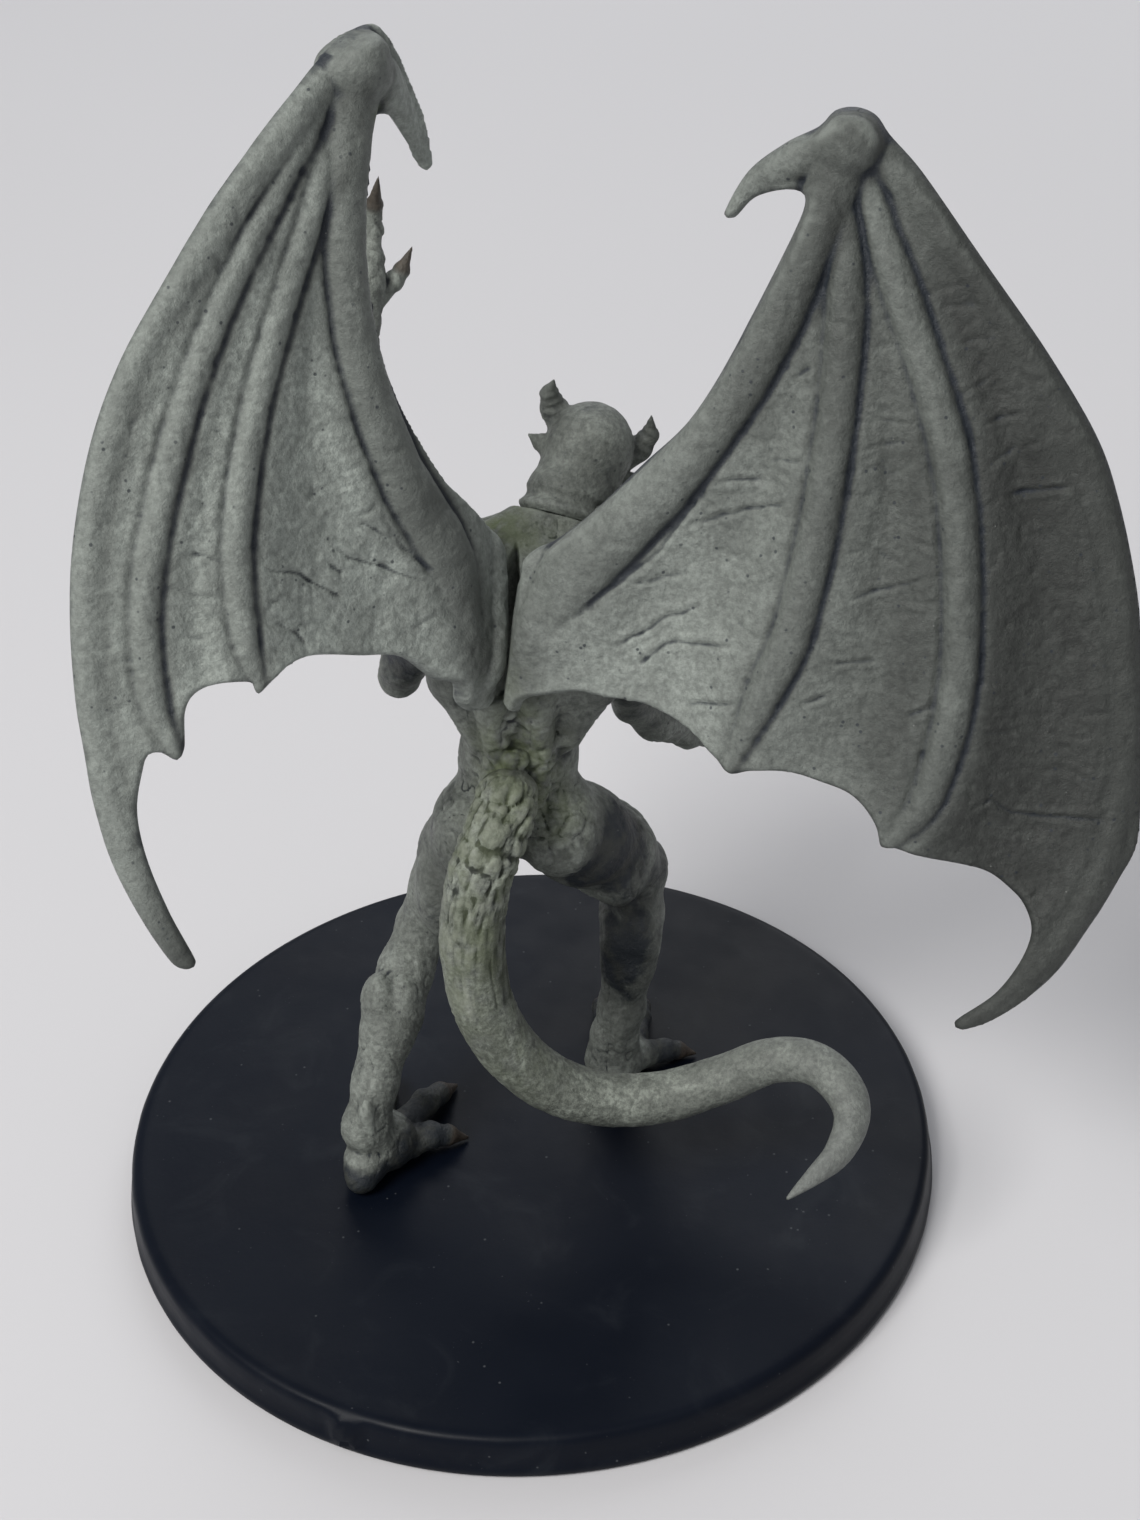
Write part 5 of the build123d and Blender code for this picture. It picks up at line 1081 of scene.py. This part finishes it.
def build_tail():
    c4 = catmull(TAIL, 0.1)
    p, r = c4[:, :3], c4[:, 3]
    step = np.linalg.norm(np.diff(p, axis=0), axis=1)
    arc = np.concatenate([[0], np.cumsum(step)])
    L = arc[-1]
    t = np.gradient(p, axis=0)
    t /= np.linalg.norm(t, axis=1, keepdims=True)
    t[0] = (0, 1, 0)
    # carried frame
    nrm = np.zeros_like(p)
    nrm[0] = unit(np.cross(t[0], (1, 0, 0)))
    for i in range(1, len(p)):
        q = nrm[i - 1] - t[i] * (nrm[i - 1] @ t[i])
        nrm[i] = q / np.linalg.norm(q)
    bi = np.cross(t, nrm)
    m = 112
    ang = np.linspace(0, 2 * np.pi, m, endpoint=False)
    dirs = np.cos(ang)[None, :, None] * nrm[:, None] + np.sin(ang)[None, :, None] * bi[:, None]
    surf = p[:, None] + dirs * r[:, None, None]
    flat = surf.reshape(-1, 3)
    a1 = np.repeat(arc, m)
    s01 = a1 / L
    # scales: cells laid on the unrolled skin, strong on the upper half
    f1, f2 = scales(a1, np.tile(ang, len(p)), np.repeat(r, m), 10, 1.08, 3, 0.55)
    cell = np.clip((f2 - f1) / 0.30, 0, 1)
    pad = (cell ** 0.5) * (1 - 0.4 * f1)
    h1, h2 = scales(a1, np.tile(ang, len(p)), np.repeat(r, m), 17, 0.62, 8, 0.6)
    small = (np.clip((h2 - h1) / 0.2, 0, 1) ** 0.5) * (1 - 0.6 * h1)
    strong = np.clip(1.25 - s01 * 2.4, 0, 1)
    patch = np.clip(0.25 + 1.1 * vnoise(flat, 0.4, 4), 0, 1.1)
    rel = strong * (patch * (0.30 * pad - 0.22) * np.clip(1.5 - s01 * 5.0, 0.12, 1) + 0.15 * (small - 0.75))
    # knuckled ridge over the root
    back = np.clip((dirs.reshape(-1, 3) @ np.array([0.05, 0.97, 0.25])), 0, 1)
    knob = np.clip(1 - s01 * 6.5, 0, 1)
    g1, g2 = worley(flat, 0.62, 12, 0.6)
    rel += knob * back * (0.62 * np.clip((g2 - g1) / 0.3, 0, 1) ** 0.6 * (1 - 0.3 * g1) - 0.12)
    # faint cross folds ringing the tail beyond the scaled root, fading towards the tip
    ringy = np.sin(a1 * 2.7 + 1.6 * vnoise(flat, 0.35, 6) * 3)
    rel += (1 - strong) * np.clip(1 - s01 * 1.05, 0, 1) * 0.05 * np.clip(ringy - 0.35, 0, 1) * -1.6
    rel += 0.06 * (fbm(flat, 0.9, 15) - 0.5)
    rel *= np.clip(a1 / 0.35, 0, 1)
    flat = flat + dirs.reshape(-1, 3) * rel[:, None]
    flat[:, 1] = np.where(a1 < 2.6, np.maximum(flat[:, 1], 2.4), flat[:, 1])
    n = len(p)
    verts = [flat]
    idx = np.arange(n * m).reshape(n, m)
    q = []
    for i in range(n - 1):
        a = idx[i]
        b = idx[i + 1]
        q.append(np.stack([a, np.roll(a, -1), np.roll(b, -1), b], 1))
    # flat root with its plug
    ring0 = idx[0]
    cur = n * m
    prev = ring0
    for y, rad in ((2.4, 0.79), (0.4, 0.79), (0.22, 0.6)):
        vv = np.stack([0.2 + rad * (dirs[0] @ np.array([1, 0, 0])), np.full(m, y), 29.6 + rad * (dirs[0] @ np.array([0, 0, 1]))], 1)
        verts.append(vv)
        now = np.arange(cur, cur + m)
        q.append(np.stack([now, np.roll(now, -1), np.roll(prev, -1), prev], 1))
        prev = now
        cur += m
    verts.append(np.array([[0.2, 0.22, 29.6], p[-1] + t[-1] * 0.08]))
    tri = [(cur, int(prev[(j + 1) % m]), int(prev[j])) for j in range(m)]
    tri += [(cur + 1, int(idx[-1][j]), int(idx[-1][(j + 1) % m])) for j in range(m)]
    verts = np.concatenate(verts)
    quads = np.concatenate(q)
    e = edges_of(quads)
    fine, broad = cavity(verts, quads, e)
    s_all = np.concatenate([s01, np.zeros(len(verts) - len(s01))])
    moss = np.clip(1.15 - s_all * 2.3, 0, 1) * (0.25 + 0.95 * vnoise(verts, 0.5, 31)) * 0.85
    pale = np.clip((s_all - 0.5) * 2.2, 0, 1)
    me = bpy.data.meshes.new("tail")
    me.from_pydata((verts * MM).tolist(), [], quads.tolist() + tri)
    me.update()
    me.polygons.foreach_set("use_smooth", [True] * len(me.polygons))
    dark = np.clip((fbm(verts, 0.6, 71, 3) - 0.50) * 6, 0, 1) * np.clip(1.35 - s_all * 2.0, 0.25, 1)
    for key, val in dict(cav=fine * 22, broad=broad * 7 + 0.42 * dark, claw=np.zeros(len(verts)), moss=moss, tone=pale).items():
        a = me.attributes.new(key, "FLOAT", "POINT")
        a.data.foreach_set("value", np.asarray(val, np.float32))
    ob = bpy.data.objects.new("tail", me)
    bpy.context.scene.collection.objects.link(ob)
    return ob


PIECES["tail"] = build_tail()


# ------------------------------------------------------------------ base disc
def build_base():
    prof = [(0, 0.0), (24.4, 0.0), (24.75, 0.05), (24.95, 0.18), (25.0, 0.38), (24.98, 0.62), (24.93, 0.74), (24.86, 1.0), (24.78, 1.6), (24.72, 2.2),
            (24.66, 2.42), (24.56, 2.58), (24.40, 2.70), (24.18, 2.76), (23.95, 2.77), (23.7, 2.765), (23.3, 2.75), (22.0, 2.75), (18, 2.755), (12, 2.76), (6, 2.765), (0, 2.77)]
    m = 360
    ang = np.linspace(0, 2 * np.pi, m, endpoint=False)
    verts = [np.array([[0, 0, prof[0][1]], [0, 0, prof[-1][1]]])]
    faces = []
    cur = 2
    prev = None
    gate = math.atan2(22.65, 11.37)
    for r, z in prof[1:-1]:
        dr = np.zeros(m)
        if r > 24.3 and 0.2 < z < 2.5:
            da = (ang - gate + np.pi) % (2 * np.pi) - np.pi
            w = np.exp(-(da / 0.036) ** 4) * np.exp(-((z - 1.5) / 0.95) ** 4)
            dr = w * (0.32 + 0.22 * np.sin(da * 160 + z * 4.0))
            dr = dr - 0.10 * np.exp(-((np.abs(da) - 0.052) / 0.012) ** 2) * np.exp(-((z - 1.5) / 0.9) ** 4)
            dr += 0.012 * np.sin(ang * 41 + z * 3) * np.sin(ang * 7.3)
        rr = r + dr
        verts.append(np.stack([rr * np.cos(ang), rr * np.sin(ang), np.full(m, z)], 1))
        now = np.arange(cur, cur + m)
        if prev is None:
            faces += [(0, int(now[(j + 1) % m]), int(now[j])) for j in range(m)]
        else:
            faces += np.stack([prev, np.roll(prev, -1), np.roll(now, -1), now], 1).tolist()
        prev = now
        cur += m
    faces += [(1, int(prev[j]), int(prev[(j + 1) % m])) for j in range(m)]
    v = np.concatenate(verts)
    me = bpy.data.meshes.new("base_disc")
    me.from_pydata((v * MM).tolist(), [], faces)
    me.update()
    ob = bpy.data.objects.new("base_disc", me)
    bpy.context.scene.collection.objects.link(ob)
    for i, (x, y) in enumerate(((9.4, 3.0), (-6.0, -3.3))):
        bpy.ops.mesh.primitive_cylinder_add(vertices=64, radius=1.15 * MM, depth=3.3 * MM, location=(x * MM, y * MM, BASE_TOP * MM))
        cut = bpy.context.object
        mod = ob.modifiers.new("hole%d" % i, "BOOLEAN")
        mod.operation = "DIFFERENCE"
        mod.solver = "EXACT"
        mod.object = cut
        bpy.context.view_layer.objects.active = ob
        bpy.ops.object.modifier_apply(modifier=mod.name)
        bpy.data.objects.remove(cut, do_unlink=True)
    me = ob.data
    me.polygons.foreach_set("use_smooth", [True] * len(me.polygons))
    me.set_sharp_from_angle(angle=math.radians(40))
    return ob


PIECES["base_disc"] = build_base()


# ------------------------------------------------------------------ materials
class Nodes:
    def __init__(self, name):
        self.mat = bpy.data.materials.new(name)
        self.mat.use_nodes = True
        self.t = self.mat.node_tree
        self.bsdf = self.t.nodes["Principled BSDF"]
        self.coord = self.t.nodes.new("ShaderNodeTexCoord").outputs["Object"]

    def link(self, a, b):
        self.t.links.new(a, b)

    def put(self, sock, value):
        if hasattr(value, "is_output") or isinstance(value, bpy.types.NodeSocket):
            self.link(value, sock)
        else:
            sock.default_value = value

    def attr(self, name):
        n = self.t.nodes.new("ShaderNodeAttribute")
        n.attribute_name = name
        return n.outputs["Fac"]

    def noise(self, scale, detail=3.0, rough=0.55, dist=0.0):
        n = self.t.nodes.new("ShaderNodeTexNoise")
        self.link(self.coord, n.inputs["Vector"])
        n.inputs["Scale"].default_value = scale
        n.inputs["Detail"].default_value = detail
        n.inputs["Roughness"].default_value = rough
        n.inputs["Distortion"].default_value = dist
        return n.outputs["Fac"]

    def voronoi(self, scale, feature="F1"):
        n = self.t.nodes.new("ShaderNodeTexVoronoi")
        n.feature = feature
        self.link(self.coord, n.inputs["Vector"])
        n.inputs["Scale"].default_value = scale
        return n

    def math(self, op, a, b=0.0, c=None, clamp=False):
        n = self.t.nodes.new("ShaderNodeMath")
        n.operation = op
        n.use_clamp = clamp
        self.put(n.inputs[0], a)
        self.put(n.inputs[1], b)
        if c is not None:
            self.put(n.inputs[2], c)
        return n.outputs[0]

    def ramp(self, x, lo, hi, a=0.0, b=1.0, smooth=True):
        n = self.t.nodes.new("ShaderNodeMapRange")
        n.interpolation_type = "SMOOTHSTEP" if smooth else "LINEAR"
        self.put(n.inputs["Value"], x)
        for key, val in (("From Min", lo), ("From Max", hi), ("To Min", a), ("To Max", b)):
            n.inputs[key].default_value = val
        return n.outputs["Result"]

    def mix(self, fac, a, b, mode="MIX"):
        n = self.t.nodes.new("ShaderNodeMix")
        n.data_type = "RGBA"
        n.blend_type = mode
        self.put(n.inputs["Factor"], fac)
        ins = [s for s in n.inputs if s.type == "RGBA"]
        self.put(ins[0], a if not isinstance(a, tuple) else (*a, 1.0))
        self.put(ins[1], b if not isinstance(b, tuple) else (*b, 1.0))
        return [s for s in n.outputs if s.type == "RGBA"][0]

    def bump(self, height, strength, dist, normal=None):
        n = self.t.nodes.new("ShaderNodeBump")
        n.inputs["Strength"].default_value = strength
        n.inputs["Distance"].default_value = dist
        self.link(height, n.inputs["Height"])
        if normal is not None:
            self.link(normal, n.inputs["Normal"])
        return n.outputs["Normal"]


def paint(name, base, light, deep, wash_gain=1.0, moss_col=(0.108, 0.134, 0.056), pale=None, tone_dark=None, gloss=0.0):
    N = Nodes(name)
    cav, broad = N.attr("cav"), N.attr("broad")
    big, mid, small = N.noise(120, 3), N.noise(520, 4, 0.6), N.noise(2600, 4, 0.65)
    col = N.mix(N.ramp(big, 0.35, 0.65), base, tuple(c * 1.16 for c in base))
    col = N.mix(N.math("MULTIPLY", N.ramp(mid, 0.45, 0.7), 0.35), col, tuple(c * 0.74 for c in base))
    grain = N.ramp(N.noise(2900, 5, 0.75), 0.36, 0.64, 0.62, 1.36)
    blot = N.ramp(N.noise(330, 5, 0.66, 0.8), 0.38, 0.62, 0.74, 1.2)
    g3 = N.t.nodes.new("ShaderNodeCombineColor")
    gm = N.math("MULTIPLY", grain, blot)
    for i in range(3):
        N.link(gm, g3.inputs[i])
    col = N.mix(0.72, col, g3.outputs[0], "MULTIPLY")
    pit = N.math("MULTIPLY", N.ramp(N.voronoi(1500).outputs["Distance"], 0.17, 0.09), N.ramp(N.noise(600, 2), 0.50, 0.58))
    col = N.mix(N.math("MULTIPLY", pit, 0.6), col, deep)
    if tone_dark is not None:
        col = N.mix(N.math("MULTIPLY", N.attr("tone"), 0.45), col, tone_dark)
    # wings: the grime mask paints light and shade across the membranes, from 1.75 times the base colour down to a fifth
    # of it
    grime_and_painted_shading = N.attr("grime_and_painted_shading")
    col = N.mix(N.ramp(N.math("ADD", grime_and_painted_shading, N.math("MULTIPLY", N.math("SUBTRACT", big, 0.5), 0.8)), -0.6, 1.3, 0.0, 1.0, False), tuple(c * 1.75 for c in base), tuple(c * 0.20 for c in base)) if tone_dark is not None else col
    if tone_dark is not None:
        col = N.mix(0.55, col, g3.outputs[0], "MULTIPLY")
        col = N.mix(N.math("MULTIPLY", N.attr("tone"), 0.34), col, tuple(c * 0.62 for c in base))
        col = N.mix(N.math("MULTIPLY", pit, 0.75), col, deep)
    if pale is not None:
        col = N.mix(N.math("MULTIPLY", N.attr("tone"), 0.8), col, pale)
        col = N.mix(0.3, col, g3.outputs[0], "MULTIPLY")
    # thin broken wash: pools in hollows, stains round them; on the wings the broad mask also holds painted shade beside
    # the bones
    wash_stain_and_shade = N.math("ADD", N.math("MULTIPLY", broad, 1.15), N.math("MULTIPLY", N.math("SUBTRACT", mid, 0.5), 0.5))
    col = N.mix(N.math("MULTIPLY", N.ramp(wash_stain_and_shade, 0.06, 0.95), 0.72 * wash_gain), col, tuple(c * 0.22 for c in base))
    wash_pool_and_shade = N.math("ADD", N.math("ADD", cav, N.math("MULTIPLY", broad, 0.55)), N.math("MULTIPLY", N.math("SUBTRACT", small, 0.5), 0.4))
    col = N.mix(N.math("MULTIPLY", N.ramp(wash_pool_and_shade, 0.22, 0.85), 0.93 * wash_gain), col, deep)
    # dry-brushed ridges
    ridge = N.math("MULTIPLY", N.ramp(N.math("ADD", N.math("MULTIPLY", cav, -1.0), N.math("MULTIPLY", broad, -0.5)), 0.10, 0.75), N.ramp(mid, 0.3, 0.62))
    col = N.mix(N.math("MULTIPLY", ridge, 0.5), col, light)
    if tone_dark is None:
        # darkening from the grime mask: heavy black wash on the right leg and back, painted shade on the feet and on
        # the torso's sides
        wash_and_shade_mask = N.ramp(N.math("ADD", N.attr("grime_and_painted_shading"), N.math("MULTIPLY", N.math("SUBTRACT", N.noise(430, 5, 0.68, 0.6), 0.5), 2.6)), 0.26, 1.02)
        col = N.mix(N.ramp(N.attr("grime_and_painted_shading"), 0.10, 0.55, 0.0, 0.6), col, tuple(c * 0.42 for c in base))
        wash_and_shade_colour = N.mix(N.ramp(N.noise(800, 4, 0.6), 0.4, 0.65), deep, tuple(c * 0.20 for c in base))
        col = N.mix(N.math("MULTIPLY", wash_and_shade_mask, 0.95), col, wash_and_shade_colour)
    # moss-green glaze
    mossn = N.math("MULTIPLY", N.attr("moss"), N.ramp(N.noise(900, 4, 0.6), 0.3, 0.6))
    col = N.mix(N.math("MINIMUM", N.math("MULTIPLY", mossn, 0.85), 0.85), col, moss_col)
    # claws and horn
    clawn = N.attr("claw")
    col = N.mix(N.math("MULTIPLY", clawn, 0.85), col, N.mix(small, (0.026, 0.020, 0.016), (0.070, 0.050, 0.034)))
    # pale dust specks
    v = N.voronoi(2100)
    speck = N.math("MULTIPLY", N.ramp(v.outputs["Distance"], 0.10, 0.05), N.ramp(N.noise(700, 1), 0.60, 0.68))
    col = N.mix(N.math("MULTIPLY", speck, 0.35), col, (0.34, 0.35, 0.33))
    N.link(col, N.bsdf.inputs["Base Color"])
    rough = N.math("ADD", N.ramp(mid, 0.3, 0.7, 0.50 - gloss, 0.66 - gloss), N.math("MULTIPLY", N.ramp(wash_pool_and_shade, 0.2, 0.8), -0.08))
    N.link(rough, N.bsdf.inputs["Roughness"])
    N.bsdf.inputs["Specular IOR Level"].default_value = 0.42
    nrm = N.bump(N.noise(3600, 5, 0.75), 0.7, 0.00011)
    nrm = N.bump(N.noise(1400, 4, 0.68), 0.5, 0.00026, nrm)
    pits = N.math("MULTIPLY", N.ramp(N.voronoi(3300).outputs["Distance"], 0.0, 0.28), 1.0)
    nrm = N.bump(pits, 0.10, 0.00005, nrm)
    N.link(nrm, N.bsdf.inputs["Normal"])
    return N.mat


skin = paint("grey_paint_skin", (0.158, 0.172, 0.155), (0.32, 0.35, 0.315), (0.010, 0.014, 0.020), 1.0)
wingm = paint("wing_paint_skin", (0.155, 0.170, 0.156), (0.285, 0.31, 0.285), (0.012, 0.017, 0.025), 1.0, tone_dark=(0.112, 0.120, 0.113))
tailm = paint("tail_paint_skin", (0.146, 0.160, 0.138), (0.30, 0.32, 0.27), (0.012, 0.016, 0.012), 1.0, (0.108, 0.130, 0.066), pale=(0.155, 0.165, 0.158))

N = Nodes("base_plastic_satin")
big, fine = N.noise(60, 3), N.noise(2200, 3, 0.6)
col = N.mix(N.ramp(big, 0.3, 0.7), (0.0022, 0.0036, 0.0078), (0.0038, 0.0058, 0.0110))
smear = N.math("MULTIPLY", N.ramp(N.noise(170, 5, 0.62, 1.2), 0.52, 0.75), 0.25)
col = N.mix(smear, col, (0.022, 0.026, 0.032))
dust = N.voronoi(1300)
pick = N.math("GREATER_THAN", N.noise(420, 1), 0.60)
specks = N.math("MULTIPLY", N.ramp(dust.outputs["Distance"], 0.12, 0.06), pick)
dust2 = N.voronoi(2900)
specks2 = N.math("MULTIPLY", N.ramp(dust2.outputs["Distance"], 0.11, 0.05), N.math("GREATER_THAN", N.noise(900, 1), 0.62))
col = N.mix(N.math("MULTIPLY", N.math("ADD", specks, N.math("MULTIPLY", specks2, 0.6), clamp=True), 0.30), col, (0.16, 0.17, 0.18))
N.link(col, N.bsdf.inputs["Base Color"])
N.link(N.math("ADD", N.ramp(N.noise(240, 4), 0.3, 0.7, 0.36, 0.46), N.math("MULTIPLY", specks, 0.3)), N.bsdf.inputs["Roughness"])
N.bsdf.inputs["Specular IOR Level"].default_value = 0.10
N.link(N.bump(N.noise(3600, 4, 0.65), 0.16, 0.00004, N.bump(N.noise(300, 2), 0.12, 0.0002)), N.bsdf.inputs["Normal"])
basem = N.mat

BODY = {"base_disc": "base", "head": "head", "left_wing": "left_wing", "right_wing": "right_wing", "tail": "tail"}
for name, ob in PIECES.items():
    ob.data.materials.clear()
    ob.data.materials.append(basem if name == "base_disc" else tailm if name == "tail" else wingm if name.endswith("wing") else skin)
    node = name
    ob.name = name + "_look"
    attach(ob, BODY.get(node, "figure"))
    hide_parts(node)

# ------------------------------------------------------------------ stage
bpy.ops.mesh.primitive_plane_add(size=4.0, location=(0, 0, -0.00002))
floor = bpy.context.object
floor.name = "floor"
N = Nodes("floor_pale")
N.link(N.mix(N.noise(6, 2), (0.555, 0.55, 0.568), (0.59, 0.585, 0.60)), N.bsdf.inputs["Base Color"])
N.bsdf.inputs["Roughness"].default_value = 0.75
N.bsdf.inputs["Specular IOR Level"].default_value = 0.2
N.link(N.bump(N.noise(1800, 3), 0.05, 0.0001), N.bsdf.inputs["Normal"])
floor.data.materials.append(N.mat)

world = bpy.data.worlds.new("soft")
bpy.context.scene.world = world
world.use_nodes = True
world.node_tree.nodes["Background"].inputs["Color"].default_value = (0.96, 0.97, 1.0, 1)
world.node_tree.nodes["Background"].inputs["Strength"].default_value = 0.345


def area(name, loc, target, size, power, color):
    li = bpy.data.lights.new(name, "AREA")
    li.shape = "DISK"
    li.size = size
    li.energy = power
    li.color = color
    ob = bpy.data.objects.new(name, li)
    ob.location = loc
    ob.rotation_euler = (Vector(target) - Vector(loc)).to_track_quat("-Z", "Y").to_euler()
    bpy.context.scene.collection.objects.link(ob)
    return ob


sun = bpy.data.lights.new("sun", "SUN")
sun.energy = 0.97
sun.angle = math.radians(28)
sun.color = (1.0, 0.985, 0.955)
sun_ob = bpy.data.objects.new("sun", sun)
sun_ob.rotation_euler = Vector((0.46, 0.42, 0.78)).to_track_quat("Z", "Y").to_euler()
bpy.context.scene.collection.objects.link(sun_ob)
area("key", (0.22, 0.20, 0.36), (0, 0, 0.03), 0.22, 1.35, (1.0, 0.985, 0.96))
area("rim", (-0.12, -0.5, 0.42), (0, 0, 0.03), 0.5, 1.25, (0.96, 0.98, 1.0))

cam = bpy.data.cameras.new("camera")
cam_ob = bpy.data.objects.new("camera", cam)
bpy.context.scene.collection.objects.link(cam_ob)
R = (-0.99795172, 0.05534735, -0.03207870)
U = (-0.05822577, -0.57815520, 0.81384662)
Fw = (-0.02649778, -0.81404744, -0.58019362)
cam_ob.matrix_world = Matrix(((R[0], U[0], -Fw[0], 0.0), (R[1], U[1], -Fw[1], 0.104126), (R[2], U[2], -Fw[2], 0.104101), (0, 0, 0, 1)))
cam.sensor_fit = "AUTO"
cam.sensor_width = 36.0
cam.lens = 54.47
cam.clip_start = 0.01
cam.clip_end = 10
bpy.context.scene.camera = cam_ob
bpy.context.scene.view_settings.view_transform = "Standard"
